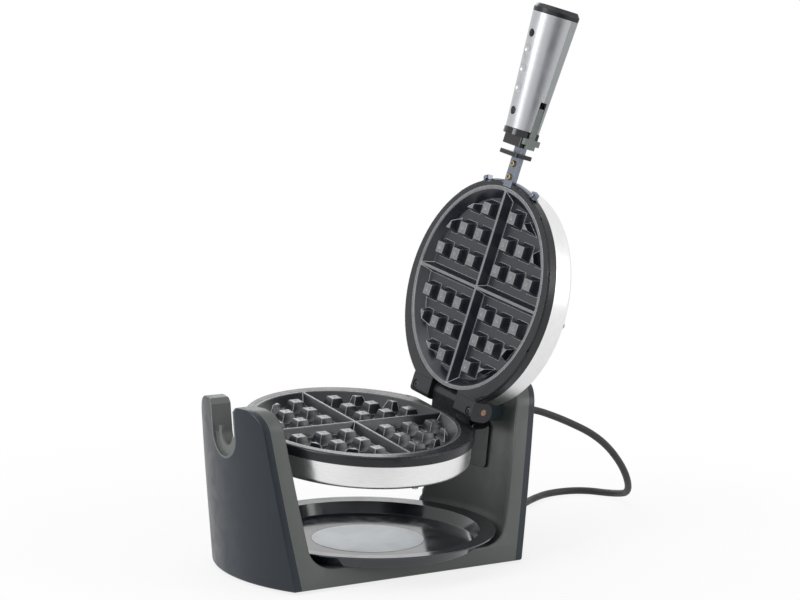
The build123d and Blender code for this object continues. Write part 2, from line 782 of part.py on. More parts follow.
def build_upper_half():
    """The lid: its rim with the two hinge ears, its shell and the screws in the ears."""
    build_half("upper", LID)
    with BuildPart() as gap:
        with BuildSketch(HOME):
            with Locations((93.7, 0)):
                Rectangle(30, 2 * EAR_INNER, align=(Align.MIN, Align.CENTER))
        extrude(amount=24)
    with BuildPart() as groove:
        with BuildSketch(HOME):
            with Locations((-PLATE_LIP + 0.2, 0)):
                Rectangle(12, 12.4, align=(Align.MAX, Align.CENTER))
        extrude(amount=NECK_DEPTH + 0.6)
    with BuildPart() as rim:
        add(RIM)
        for start, end in ((-EAR_OUTER, -EAR_INNER), (EAR_INNER, EAR_OUTER)):
            add(knuckle(HOME, start, end, 95.7, 113.5, PARTING, 4.2))
        add(gap.part, mode=Mode.SUBTRACT)
        add(groove.part, mode=Mode.SUBTRACT)
        with BuildSketch(HOME.offset(PARTING)):
            with Locations(*EAR_SCREWS):
                Circle(3.9)
        extrude(amount=2, mode=Mode.SUBTRACT)
        with BuildSketch(HOME.offset(PARTING)):
            with Locations(*EAR_SCREWS):
                Circle(1.4)
        extrude(amount=9, mode=Mode.SUBTRACT)
    keep("upper_rim", rim.part, LID)
    build_screws("ear_screws", HOME.offset(PARTING + 2), EAR_SCREWS, 3.4, 1.6, 1.3, 6, LID)

    with BuildPart() as shell:
        add(SHELL)
        add(gap.part, mode=Mode.SUBTRACT)
        with BuildSketch(HOME.offset(RIM_DEPTH + 10)):
            with Locations(*LENSES):
                Circle(4.05)
        extrude(amount=SHELL_DEPTH, mode=Mode.SUBTRACT)
    keep("upper_shell", shell.part, LID)
    with BuildPart() as lenses:
        with BuildSketch(HOME.offset(RIM_DEPTH + SHELL_DEPTH - 3)):
            with Locations(*LENSES):
                Circle(4.0)
        extrude(amount=4)
        fillet(lenses.edges().group_by(spindle(HOME))[-1], 0.8)
    keep("indicator_lenses", lenses.part, LID)


# Neck and handle
def build_neck():
    """The channel bracket that joins the lid to the handle, with its screws and rim clamp."""
    with BuildPart() as bracket:
        with BuildSketch(facing(HOME, -NECK_END)):
            with Locations((0, PARTING)):
                Rectangle(12, NECK_DEPTH, align=(Align.CENTER, Align.MIN))
            with Locations((0, PARTING + 1.8)):
                Rectangle(8.4, 10, align=(Align.CENTER, Align.MIN), mode=Mode.SUBTRACT)
        extrude(amount=NECK_END - NECK_START)
        with BuildSketch(HOME):
            with Locations((-SCREW_WELLS[0], 0), (-NECK_SCREWS[0], 0), (-NECK_SCREWS[1], 0)):
                Circle(1.7)
        extrude(amount=3, mode=Mode.SUBTRACT)
    keep("neck_bracket", bracket.part, LID)

    with BuildPart() as screws:
        with BuildSketch(HOME.offset(PARTING)):
            with Locations((-NECK_SCREWS[0], 0), (-NECK_SCREWS[1], 0)):
                RegularPolygon(3.0, 6)
        extrude(amount=-2)
        with BuildSketch(HOME.offset(PARTING)):
            with Locations((-NECK_SCREWS[0], 0), (-NECK_SCREWS[1], 0)):
                Circle(1.6)
        extrude(amount=5.5)
    keep("neck_screws", screws.part, LID)

    low, high = 3.0, 8.2
    with BuildPart() as clamp:
        with BuildSketch(HOME.offset(low)):
            with Locations((RIM_SHIFT, 0)):
                Circle(RIM_RADIUS + 1.6)
                Circle(RIM_RADIUS + 0.05, mode=Mode.SUBTRACT)
            with Locations((-92.9, 0)):
                Rectangle(300, 300, align=(Align.MIN, Align.CENTER), mode=Mode.SUBTRACT)
            with Locations((-102, 0)):
                Rectangle(30, 12.1, mode=Mode.SUBTRACT)
        extrude(amount=high - low)
        with BuildSketch(HOME.offset(low)):
            with Locations((RIM_SHIFT, 0)):
                with PolarLocations(RIM_RADIUS + 3, 2, 160, 40, endpoint=True):
                    Rectangle(5.6, 6)
                    Circle(1.5, mode=Mode.SUBTRACT)
        extrude(amount=high - low)
    keep("rim_clamp", clamp.part, LID)

    with BuildPart() as bolts:
        with BuildSketch(HOME.offset(low)):
            with Locations((RIM_SHIFT, 0)):
                with PolarLocations(RIM_RADIUS + 3, 2, 160, 40, endpoint=True):
                    RegularPolygon(2.6, 6)
        extrude(amount=-2)
        with BuildSketch(HOME.offset(low)):
            with Locations((RIM_SHIFT, 0)):
                with PolarLocations(RIM_RADIUS + 3, 2, 160, 40, endpoint=True):
                    Circle(1.4)
        extrude(amount=6.5)
    keep("clamp_bolts", bolts.part, LID)


def grip_ratio(x):
    """How far along the grip a position lies, from 0 at the neck to 1 at the tip."""
    return (x - GRIP_START) / (GRIP_END - GRIP_START)


def grip_width(x):
    """The grip's half width at a distance from the plate centre."""
    return 16.0 + 4.2 * grip_ratio(x)


def grip_front(x):
    """The depth of the grip's curved front at a distance from the plate centre."""
    return 17.5 + 8.5 * grip_ratio(x)


def grip_back(x):
    """The depth of the grip's flat back at a distance from the plate centre."""
    return 8.2 + 1.8 * grip_ratio(x)


def front_section(x, inset):
    """The curved front's section: a half ellipse below the parting plane."""
    with BuildSketch(facing(HOME, -x)) as half:
        Ellipse(grip_width(x) - inset, grip_front(x) - inset)
        Rectangle(80, 80, align=(Align.CENTER, Align.MIN), mode=Mode.SUBTRACT)
    return half.sketch


def back_section(x, inset):
    """The back's section: a shallow tray with rounded corners above the parting plane."""
    width, depth = grip_width(x) - inset, grip_back(x) - inset
    with BuildSketch(facing(HOME, -x)) as tray:
        Rectangle(2 * width, depth, align=(Align.CENTER, Align.MIN))
        fillet(tray.vertices().group_by(Axis.Y)[-1], 5.0 - inset)
    return tray.sketch


def whole_section(x, inset):
    """The grip's whole outline at a distance from the plate centre."""
    with BuildSketch(facing(HOME, -x)) as outline:
        Ellipse(grip_width(x) - inset, grip_front(x) - inset)
        Rectangle(80, 80, align=(Align.CENTER, Align.MIN), mode=Mode.SUBTRACT)
        Rectangle(2 * grip_width(x) - 2 * inset, grip_back(x) - inset, align=(Align.CENTER, Align.MIN))
        fillet(outline.vertices().group_by(Axis.Y)[-1], 5.0 - inset)
    return outline.sketch


def grip_half(make_section, inset, start, end):
    """One half of the grip as a solid loft, drawn in by a wall thickness."""
    with BuildPart() as half:
        add(make_section(start, inset))
        add(make_section(end, inset))
        loft()
    return half.part


def latch_slot():
    """The slot in the grip's front side that the latch's finger slides in."""
    with BuildPart() as slot:
        with BuildSketch(section(HOME, -LATCH_INNER + 0.4)):
            with Locations((-SLOT_END, 0)):
                Rectangle(SLOT_END - COLLAR_END + 0.5, 6.8, align=(Align.MIN, Align.CENTER))
            with Locations((-GRIP_START + 0.4, 0)):
                Rectangle(GRIP_START - COLLAR_END + 0.1, 18.8, align=(Align.MIN, Align.CENTER))
        extrude(amount=10)
    return slot.part


def build_grip():
    """The two grip shells with their screw wells and bosses."""
    with BuildPart() as front:
        add(grip_half(front_section, 0, GRIP_START, GRIP_END))
        add(grip_half(front_section, GRIP_WALL, GRIP_START, GRIP_END), mode=Mode.SUBTRACT)
        for x in SCREW_WELLS:
            depth = grip_front(x)
            with BuildSketch(HOME.offset(-0.05)):
                with Locations((-x, 0)):
                    Circle(5.2)
            extrude(amount=-(depth - 1.5))
            with BuildSketch(HOME.offset(-WELL_FLOOR)):
                with Locations((-x, 0)):
                    Circle(3.8)
            extrude(amount=-depth, mode=Mode.SUBTRACT)
            with BuildSketch(HOME):
                with Locations((-x, 0)):
                    Circle(1.6)
            extrude(amount=-depth, mode=Mode.SUBTRACT)
        with Locations(*[(-x, 0, -grip_front(x) - 6.4) for x in DIMPLES]):
            Sphere(8, mode=Mode.SUBTRACT)
        add(latch_slot(), mode=Mode.SUBTRACT)
    keep("handle_front", front.part, LID)

    with BuildPart() as back:
        add(grip_half(back_section, 0, GRIP_START, GRIP_END))
        add(grip_half(back_section, GRIP_WALL, GRIP_START, GRIP_END), mode=Mode.SUBTRACT)
        for x, base in zip(SCREW_WELLS, (PARTING + 1.9, 0.05)):
            with BuildSketch(HOME.offset(base)):
                with Locations((-x, 0)):
                    Circle(3.4)
                    Circle(1.3, mode=Mode.SUBTRACT)
            extrude(amount=grip_back(x) - base - 1)
        add(latch_slot(), mode=Mode.SUBTRACT)
    keep("handle_back", back.part, LID)
    wells = [(-x, 0) for x in SCREW_WELLS]
    build_screws("handle_screws", HOME.offset(-WELL_FLOOR), wells, 3.2, 2.2, 1.25, 12.5, LID)


def build_handle_ends():
    """The black end cap and the flanged collar that turns in the cradle."""
    with BuildPart() as cap:
        add(whole_section(GRIP_END, 0))
        add(whole_section(CAP_END - CAP_ROUND, 0))
        loft()
        add(whole_section(CAP_END - CAP_ROUND, 0))
        add(whole_section(CAP_END, CAP_ROUND - 1))
        loft()
    keep("handle_end_cap", cap.part, LID)

    channel = (12.1, NECK_DEPTH + 0.1)
    with BuildPart() as inner:
        with BuildSketch(facing(HOME, -COLLAR_START - 4)):
            with Locations((0, -0.5)):
                RectangleRounded(27.6, 19, 2.5)
            with Locations((0, PARTING - 0.05)):
                Rectangle(*channel, align=(Align.CENTER, Align.MIN), mode=Mode.SUBTRACT)
        extrude(amount=4)
    keep("neck_flange", inner.part, LID)

    with BuildPart() as collar:
        with BuildSketch(facing(HOME, -COLLAR_END)):
            with Locations((0, -0.5)):
                RectangleRounded(27.6, 19, 2.5)
        extrude(amount=COLLAR_END - COLLAR_GAP)
        extrude(whole_section(GRIP_START, -0.8), amount=GRIP_START - COLLAR_END)
        add(latch_slot(), mode=Mode.SUBTRACT)
        with BuildSketch(facing(HOME, -GRIP_START)):
            with Locations((0, PARTING - 0.05)):
                Rectangle(*channel, align=(Align.CENTER, Align.MIN))
        extrude(amount=30, mode=Mode.SUBTRACT)
    keep("handle_collar", collar.part, LID)


def build_latch():
    """The sliding latch beside the collar, with its finger in the grip's slot."""
    with BuildPart() as latch:
        with BuildSketch(section(HOME, -LATCH_INNER)):
            with Locations((-COLLAR_END - 0.2, 0)):
                Rectangle(COLLAR_END - COLLAR_GAP, 9.6, align=(Align.MIN, Align.CENTER))
                Rectangle(5.6, 18, align=(Align.MIN, Align.CENTER))
        extrude(amount=LATCH_OUTER - LATCH_INNER)
        with BuildSketch(section(HOME, -LATCH_INNER)):
            with Locations((-FINGER_END, 0)):
                Rectangle(FINGER_END - COLLAR_END, 6.0, align=(Align.MIN, Align.CENTER))
        extrude(amount=2.1)
    keep("latch_slider", latch.part, LID)


# Drip tray
def build_tray():
    """The round drip tray and the bright disc let into its floor."""
    floor = FLOOR_TOP + TRAY_GAP
    with BuildPart() as tray:
        with BuildSketch(Plane.XZ) as outline:
            with BuildLine():
                Polyline(
                    (0, floor), (99.5, floor), (103.0, floor + 10.7), (TRAY_RADIUS, floor + 11.4),
                    (TRAY_RADIUS, floor + 12.8), (101.6, floor + 11.9), (97.8, floor + 1.2),
                    (DISC_RADIUS, floor + 1.2), (DISC_RADIUS, floor + 0.9), (0, floor + 0.9), close=True,
                )
            make_face()
        revolve(axis=Axis.Z)
    keep("drip_tray", tray.part)
    with BuildPart() as disc:
        with BuildSketch(Plane.XY.offset(floor + 0.9)):
            Circle(DISC_RADIUS - 0.1)
        extrude(amount=0.5)
    keep("tray_disc", disc.part)


# Power cord
def corner_radius(before, corner, after):
    """The largest arc that a corner of the route allows, and the angle it turns through."""
    first, second = corner - before, after - corner
    turn = first.get_angle(second)
    return 0.45 * min(first.length, second.length) / tan(radians(turn / 2)), turn


def build_cord():
    """The free cord from the strain relief, down to the table and back to the coil."""
    points = [Vector(*point) for point in CORD_ROUTE]
    corners = [corner_radius(*points[i - 1 : i + 2]) for i in range(1, len(points) - 1)]
    bends = [radius for radius, turn in corners]
    with BuildPart() as cord:
        with BuildLine() as path:
            FilletPolyline(*points, radius=bends)
        with BuildSketch(Plane(origin=path.line @ 0, z_dir=path.line % 0)):
            Circle(CORD_RADIUS)
        sweep()
    keep("cord", cord.part)
    length = path.wire().length
    expected = pi * CORD_RADIUS**2 * length
    print("cord radii", [round(bend, 1) for bend in bends], "turns", [round(turn) for _, turn in corners])
    print("cord length", round(length), "volume ratio", round(cord.part.volume / expected, 4))
    return length


def coil_point(turns):
    """A point on the coil's centre line: in at a steady rate, up one layer, and out again."""
    radius = COIL_INNER + COIL_PITCH * abs(turns - COIL_TURNS / 2)
    climb = min(max((turns - COIL_TURNS / 2) / 0.5 + 0.5, 0), 1)
    angle = pi / 2 + 2 * pi * turns
    return Vector(
        COIL_X + radius * cos(angle), COIL_Y - radius * sin(angle), COIL_REST + COIL_LAYER * climb
    )


def biarc(start, leaving, end, arriving):
    """The middle point and direction of the two arcs that join two points with given directions."""
    chord = end - start
    both = leaving + arriving
    across = 2 * (1 - leaving.dot(arriving))
    reach = (sqrt(chord.dot(both) ** 2 + across * chord.dot(chord)) - chord.dot(both)) / across
    middle = (start + end + (leaving - arriving) * reach) * 0.5
    heading = ((end - arriving * reach) - (start + leaving * reach)).normalized()
    return middle, heading


def coil_gap(centre_line):
    """The least gap between the coil's turns, measured on points along its centre line."""
    count = COIL_TURNS * 48
    points = [centre_line @ (i / count) for i in range(count + 1)]
    apart = count // COIL_TURNS // 2
    return min(
        (points[i] - points[j]).length for i in range(count + 1) for j in range(i + apart, count + 1)
    ) - 2 * CORD_RADIUS


def build_coil():
    """The rest of the cord, wound into one unbroken coil of two layers."""
    steps = [i / 4 for i in range(4 * COIL_TURNS + 1)]
    points = [coil_point(turns) for turns in steps]
    slight = 0.01
    headings = [(coil_point(turns + slight) - coil_point(turns - slight)).normalized() for turns in steps]
    straight = Vector(-1, 0, 0)
    headings[0] = headings[-1] = straight
    with BuildPart() as coil:
        with BuildLine() as path:
            Line(points[0] - straight * COIL_LEAD, points[0])
            for i in range(len(points) - 1):
                middle, heading = biarc(points[i], headings[i], points[i + 1], headings[i + 1])
                TangentArc(points[i], middle, tangent=headings[i])
                TangentArc(middle, points[i + 1], tangent=heading)
            Line(points[-1], points[-1] + straight * COIL_TAIL)
        with BuildSketch(Plane(origin=path.line @ 0, z_dir=path.line % 0)):
            Circle(CORD_RADIUS)
        sweep()
    keep("cord_coil", coil.part)
    centre_line = path.wire()
    print("coil length", round(centre_line.length), "least gap", round(coil_gap(centre_line), 2))
    return centre_line.length


def build_ties():
    """The two bands that hold the coil together."""
    middle = COIL_REST + COIL_LAYER / 2
    spread = COIL_INNER + COIL_PITCH * COIL_TURNS / 4
    width = 2 * CORD_RADIUS + COIL_PITCH + 1
    height = 2 * CORD_RADIUS + COIL_LAYER + 0.6
    with BuildPart() as ties:
        with BuildSketch(Plane.XZ.offset(-COIL_Y - 2.5)):
            with Locations((COIL_X - spread, middle), (COIL_X + spread, middle)):
                RectangleRounded(width + 1.6, height + 1.6, 3)
                RectangleRounded(width, height, 2.2, mode=Mode.SUBTRACT)
        extrude(amount=5)
    keep("cord_ties", ties.part)


def build_plug():
    """The moulded mains plug at the coil's end, with its two pins."""
    tip = coil_point(COIL_TURNS) + Vector(-COIL_TAIL, 0, 0)
    axis = Plane(origin=tip, x_dir=(0, 1, 0), z_dir=(-1, 0, 0))
    with BuildPart() as plug:
        with BuildSketch(axis):
            Circle(4.4)
        with BuildSketch(axis.offset(18)):
            Circle(6.5)
        loft()
        with BuildSketch(axis.offset(18)):
            RectangleRounded(18, 15, 6)
        with BuildSketch(axis.offset(34)):
            RectangleRounded(34, 24, 10)
        loft()
        with BuildSketch(axis.offset(34)):
            RectangleRounded(34, 24, 10)
        extrude(amount=16)
    keep("plug", plug.part)
    with BuildPart() as pins:
        with BuildSketch(axis.offset(50)):
            with Locations((9.5, 0), (-9.5, 0)):
                Circle(2.4)
        extrude(amount=19)
        fillet(pins.faces().sort_by(Axis.X)[:2].edges(), 1.2)
    keep("plug_pins", pins.part)


build_stand_frame()
build_cover("left_cover", -1)
build_cover("right_cover", 1)
build_cradle()
build_inner_cover()
build_base()
build_pivot_bush()
build_wiring()
build_lower_half()
build_pivot()
build_upper_half()
build_neck()
build_grip()
build_handle_ends()
build_latch()
build_tray()
cord_length = build_cord() + build_coil()
build_ties()
build_plug()
print("whole cord", round(cord_length))

os.makedirs("parts", exist_ok=True)
for name, piece in BUILT.items():
    export_step(piece, f"parts/{name}.step")
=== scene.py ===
"""The looks of a rotating waffle maker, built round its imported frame.

Lengths are in metres and +Z is up. The origin lies on the table under the middle of the stand.
"""

import json
import logging
import math
from dataclasses import dataclass
from enum import Enum
from typing import Iterable, Sequence

import bmesh
import bpy
from mathutils import Matrix, Vector


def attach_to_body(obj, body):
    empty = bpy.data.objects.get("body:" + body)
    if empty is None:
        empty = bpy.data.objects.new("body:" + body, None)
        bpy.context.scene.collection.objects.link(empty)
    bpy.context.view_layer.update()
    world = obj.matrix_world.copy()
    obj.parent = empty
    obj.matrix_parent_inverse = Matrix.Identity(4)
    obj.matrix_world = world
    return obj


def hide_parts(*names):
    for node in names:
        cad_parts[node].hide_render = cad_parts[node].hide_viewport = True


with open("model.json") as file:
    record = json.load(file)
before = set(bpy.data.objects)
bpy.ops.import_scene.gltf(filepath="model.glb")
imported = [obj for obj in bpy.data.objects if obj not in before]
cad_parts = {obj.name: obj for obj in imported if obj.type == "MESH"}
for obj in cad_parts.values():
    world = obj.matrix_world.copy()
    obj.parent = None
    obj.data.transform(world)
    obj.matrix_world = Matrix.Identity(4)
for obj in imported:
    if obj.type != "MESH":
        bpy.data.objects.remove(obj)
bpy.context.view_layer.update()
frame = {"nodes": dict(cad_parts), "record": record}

LOG = logging.getLogger("waffle_maker")
MM = 0.001
MERGE = 2e-6
FLAT_ANGLE = 0.3
SCREW_SMOOTH = 35.0
PLATE_SMOOTH = 40.0

WHITE = (1, 1, 1)
FULL_TURN = 2 * math.pi
QUARTER_TURN = math.pi / 2

Mesh = bpy.types.Mesh
Object = bpy.types.Object
Material = bpy.types.Material
Shape = bmesh.types.BMesh
Triple = tuple[float, float, float]
Pair = tuple[float, float]


# Places
def placed(origin: Sequence[float], across: Sequence[float], inward: Sequence[float]) -> Matrix:
    """Make the matrix of a working frame.

    Args:
        origin: The frame's origin, in metres.
        across: The direction of its x axis.
        inward: The direction of its z axis.

    Returns:
        The matrix that takes the frame's coordinates to the object's.
    """
    x = Vector(across).normalized()
    z = Vector(inward).normalized()
    y = z.cross(x)
    turn = Matrix((x, y, z)).transposed().to_4x4()
    return Matrix.Translation(Vector(origin)) @ turn


@dataclass(frozen=True)
class Places:
    """The tilted working frames of the two plate housings."""

    plate_x: float = -15.5 * MM
    flip_height: float = 131.0 * MM
    tilt: float = 6.7
    hinge_x: float = 104.0 * MM
    hinge_z: float = 13.0 * MM
    lid_angle: float = 104.5

    @property
    def flip(self) -> Matrix:
        """The closed lid's frame, with z towards the lid."""
        lean = math.radians(self.tilt)
        return placed((self.plate_x, 0, self.flip_height), (1, 0, 0), (0, -math.sin(lean), math.cos(lean)))

    @property
    def lower(self) -> Matrix:
        """The lower housing's frame, with z towards its shell."""
        return self.flip @ placed((0, 0, 0), (1, 0, 0), (0, 0, -1))

    @property
    def lid(self) -> Matrix:
        """The opened lid's frame, with z towards its shell."""
        turn = math.radians(self.lid_angle)
        across = Vector((math.cos(turn), 0, -math.sin(turn)))
        inward = Vector((math.sin(turn), 0, math.cos(turn)))
        hinge = Vector((self.hinge_x, 0, self.hinge_z))
        origin = hinge - across * self.hinge_x - inward * self.hinge_z
        return self.flip @ placed(origin, across, inward)


PLACES = Places()
HOMES = {"lid": PLACES.lid, "lower": PLACES.lower}


# Shader building
class Signal:
    """One output of a node, with arithmetic that adds Math nodes."""

    def __init__(self, graph: "Graph", socket: bpy.types.NodeSocket) -> None:
        """Keep the graph and its socket."""
        self.graph = graph
        self.socket = socket

    def __add__(self, other: "Signal | float") -> "Signal":
        """Add."""
        return self.graph.maths("ADD", self, other)

    def __radd__(self, other: float) -> "Signal":
        """Add, from the right."""
        return self.graph.maths("ADD", other, self)

    def __sub__(self, other: "Signal | float") -> "Signal":
        """Subtract."""
        return self.graph.maths("SUBTRACT", self, other)

    def __rsub__(self, other: float) -> "Signal":
        """Subtract from a number."""
        return self.graph.maths("SUBTRACT", other, self)

    def __mul__(self, other: "Signal | float") -> "Signal":
        """Multiply."""
        return self.graph.maths("MULTIPLY", self, other)

    def __rmul__(self, other: float) -> "Signal":
        """Multiply, from the right."""
        return self.graph.maths("MULTIPLY", other, self)

    def clamped(self) -> "Signal":
        """Keep the value between 0 and 1."""
        return self.graph.maths("ADD", self, 0.0, clamp=True)


class Graph:
    """A node tree that is built node by node."""

    def __init__(self, tree: bpy.types.NodeTree) -> None:
        """Start with an empty tree.

        Args:
            tree: The tree to fill.
        """
        tree.nodes.clear()
        self.tree = tree

    def node(
        self, kind: str, settings: dict | None = None, sockets: dict | None = None
    ) -> bpy.types.Node:
        """Add a node.

        Args:
            kind: The node's type.
            settings: Its properties, set first.
            sockets: Values or signals for its inputs, by name or number.

        Returns:
            The new node.
        """
        made = self.tree.nodes.new(kind)
        for key, value in (settings or {}).items():
            setattr(made, key, value)
        for key, value in (sockets or {}).items():
            self.feed(made.inputs[key], value)
        return made

    def feed(self, socket: bpy.types.NodeSocket, value: Signal | float | Sequence[float]) -> None:
        """Link a signal to a socket, or set the socket's own value."""
        if isinstance(value, Signal):
            self.tree.links.new(value.socket, socket)
        elif isinstance(value, (int, float)):
            socket.default_value = value
        else:
            wide = len(socket.default_value)
            socket.default_value = (*value, 1.0)[:wide]

    def signal(
        self, kind: str, output: str | int, settings: dict | None = None, sockets: dict | None = None
    ) -> Signal:
        """Add a node and return one of its outputs as a signal."""
        return Signal(self, self.node(kind, settings, sockets).outputs[output])

    def maths(
        self, operation: str, first: Signal | float, second: Signal | float = 0.0, clamp: bool = False
    ) -> Signal:
        """Add a Math node and return its result."""
        return self.signal(
            "ShaderNodeMath", 0, {"operation": operation, "use_clamp": clamp}, {0: first, 1: second}
        )

    def level(
        self, value: Signal, low: float, high: float, least: float = 0.0, most: float = 1.0
    ) -> Signal:
        """Stretch a value's range from low and high to least and most, with its ends clamped."""
        return self.signal(
            "ShaderNodeMapRange", 0, {"clamp": True}, {0: value, 1: low, 2: high, 3: least, 4: most}
        )

    def seen_share(self) -> Signal:
        """Tell camera, glossy and transmitted rays from the rest."""
        path = self.node("ShaderNodeLightPath")
        kinds = ("Is Camera Ray", "Is Glossy Ray", "Is Transmission Ray")
        camera, glossy, through = (Signal(self, path.outputs[kind]) for kind in kinds)
        return self.maths("ADD", self.maths("ADD", camera, glossy, clamp=True), through, clamp=True)


class Shader(Graph):
    """One material's nodes, from its coordinates to its surface."""

    flat_dot = 0.995
    edge_dot = 0.86

    def __init__(self, name: str) -> None:
        """Start a material with an empty surface shader.

        Args:
            name: The material's name.
        """
        self.material = bpy.data.materials.new(name)
        self.material.use_nodes = True
        super().__init__(self.material.node_tree)
        self.surface = self.node("ShaderNodeBsdfPrincipled")
        self.node("ShaderNodeOutputMaterial", {}, {"Surface": Signal(self, self.surface.outputs["BSDF"])})

    def position(self, home: Matrix | None = None) -> Signal:
        """Give the position on the object.

        Args:
            home: A frame to read the position in, or None for the object's own.

        Returns:
            The position as a vector signal.
        """
        own = self.signal("ShaderNodeTexCoord", "Object")
        if home is None:
            return own
        sockets = {"Vector": own, "Location": home.to_translation(), "Rotation": home.to_euler()}
        return self.signal("ShaderNodeMapping", 0, {"vector_type": "TEXTURE"}, sockets)

    def noise(
        self, scale: float, detail: float = 3.0, where: Signal | None = None, twist: float = 0.0
    ) -> Signal:
        """Give fractal noise of a given number of features a metre."""
        sockets = {"Vector": where or self.position(), "Scale": scale, "Detail": detail, "Distortion": twist}
        return self.signal("ShaderNodeTexNoise", 0, {"noise_dimensions": "3D"}, sockets)

    def cells(self, scale: float, output: str = "Distance") -> Signal:
        """Give the distance to scattered points, for pits and flakes, or another output."""
        return self.signal("ShaderNodeTexVoronoi", output, {}, {"Vector": self.position(), "Scale": scale})

    def flakes(self, scale: float) -> Signal:
        """Give a random tone for each small cell."""
        return self.signal("ShaderNodeSeparateColor", 0, {}, {0: self.cells(scale, "Color")})

    def mix(self, share: Signal, first: Signal | Sequence[float], second: Signal | Sequence[float]) -> Signal:
        """Mix two colours by a share."""
        return self.signal("ShaderNodeMix", 2, {"data_type": "RGBA"}, {0: share, 6: first, 7: second})

    def edges(self, radius: float) -> Signal:
        """Mark the edges of the shape, where handling wears a finish and where a painted edge highlight is
        laid.

        Args:
            radius: How far the mark reaches from an edge, in metres.

        Returns:
            A mask that is 1 on edges and 0 on faces.
        """
        rounded = self.signal("ShaderNodeBevel", 0, {"samples": 4}, {"Radius": radius})
        plain = self.signal("ShaderNodeNewGeometry", "Normal")
        product = {"operation": "DOT_PRODUCT"}
        along = self.signal("ShaderNodeVectorMath", "Value", product, {0: rounded, 1: plain})
        return self.level(along, self.flat_dot, self.edge_dot)

    def upward(self) -> Signal:
        """Tell how far a surface faces up, where dust settles."""
        normal = self.signal("ShaderNodeNewGeometry", "Normal")
        return self.signal("ShaderNodeSeparateXYZ", 2, {}, {0: normal}).clamped()

    def bump(self, height: Signal, depth: float, strength: float = 1.0, over: Signal | None = None) -> Signal:
        """Turn a height into a surface normal.

        Args:
            height: The height, from 0 to 1.
            depth: The height of 1, in metres.
            strength: How strongly it shows.
            over: A coarser relief underneath.

        Returns:
            The normal as a vector signal.
        """
        sockets = {"Height": height, "Distance": depth, "Strength": strength}
        if over is not None:
            sockets["Normal"] = over
        return self.signal("ShaderNodeBump", 0, {}, sockets)

    def dress(self, **sockets: Signal | float | Sequence[float]) -> Material:
        """Set the surface's sockets, with underscores for spaces, and return the material."""
        for name, value in sockets.items():
            self.feed(self.surface.inputs[name.replace("_", " ")], value)
        return self.material


# Finishes
@dataclass(frozen=True)
class Finish:
    """A surface finish that can make its own material."""

    name: str
    colour: Triple

    def tone(self, factor: float) -> Triple:
        """Give the finish's colour, made lighter or darker."""
        return tuple(min(part * factor, 1.0) for part in self.colour)

    def material(self) -> Material:
        """Make the material."""
        raise NotImplementedError


@dataclass(frozen=True)
class MouldedPlastic(Finish):
    """Injection-moulded plastic with a fine eroded grain, handling marks, and edges lightened partly by
    rubbing wear and partly as a painted highlight.
    """

    roughness: float = 0.42
    grain: float = 1500.0
    grain_depth: float = 0.00003
    # How much lighter the edges get, partly as wear and partly as a painted highlight.
    worn: float = 1.9
    edge: float = 0.0009
    specular: float = 0.5
    dust: Triple = (0.30, 0.30, 0.30)
    drift: float = 14.0
    smudge: float = 55.0

    def material(self) -> Material:
        """Make the material."""
        shader = Shader(self.name)
        slow = shader.noise(self.drift, 2)
        smudge = shader.noise(self.smudge, 4, twist=0.6)
        grain = shader.noise(self.grain, 2)
        edges = shader.edges(self.edge)
        dust = shader.upward() * shader.level(shader.noise(240, 4), 0.5, 0.8)
        base = shader.mix(slow, self.tone(0.88), self.tone(1.12))
        base = shader.mix(dust * 0.10, base, self.dust)
        # Edges lightened: partly wear, partly a painted highlight.
        base = shader.mix(edges * 0.55, base, self.tone(self.worn))
        rough = shader.level(smudge, 0.3, 0.7, self.roughness - 0.05, self.roughness + 0.07)
        return shader.dress(
            Base_Color=base,
            Roughness=(rough - edges * 0.08).clamped(),
            Specular_IOR_Level=self.specular,
            Normal=shader.bump(grain, self.grain_depth, 0.35),
        )


class Lay(Enum):
    """Which way the fine scratches of a metal run."""

    ROUND = "round"
    LOOSE = "loose"


@dataclass(frozen=True)
class FineMetal(Finish):
    """Metal with fine scratches that run round a middle, or loosely."""

    roughness: float = 0.3
    lay: Lay = Lay.LOOSE
    home: str = "none"
    contrast: float = 0.12
    metallic: float = 1.0
    loose: float = 900.0
    fine: float = 2600.0
    slide: float = 0.004

    def _scratches(self, shader: Shader) -> Signal:
        """Make the pattern of fine scratches."""
        where = shader.position(HOMES.get(self.home))
        if self.lay is Lay.LOOSE:
            return shader.noise(self.loose, 5, where)
        parts = shader.node("ShaderNodeSeparateXYZ", {}, {0: where})
        x, y, z = (Signal(shader, parts.outputs[i]) for i in range(3))
        reach = shader.maths("SQRT", x * x + y * y)
        angle = shader.maths("ARCTAN2", y, x)
        rings = shader.signal("ShaderNodeCombineXYZ", 0, {}, {0: reach, 1: z, 2: angle * self.slide})
        return shader.noise(self.fine, 4, rings)

    def material(self) -> Material:
        """Make the material."""
        shader = Shader(self.name)
        scratches = self._scratches(shader)
        smudge = shader.noise(34, 4, twist=0.8)
        edges = shader.edges(0.0006)
        worn, bright = self.tone(1 - self.contrast), self.tone(1.05)
        base = shader.mix(shader.level(scratches, 0.3, 0.7), worn, bright)
        # Edges lightened: partly wear, partly a painted highlight.
        base = shader.mix(edges * 0.4, base, self.tone(1.25))
        rough = shader.level(smudge, 0.3, 0.75, self.roughness - 0.05, self.roughness + 0.08)
        rough = rough + (scratches - 0.5) * 0.12
        return shader.dress(
            Base_Color=base,
            Metallic=self.metallic,
            Roughness=rough.clamped(),
            Normal=shader.bump(scratches, 0.00002, 0.25),
        )


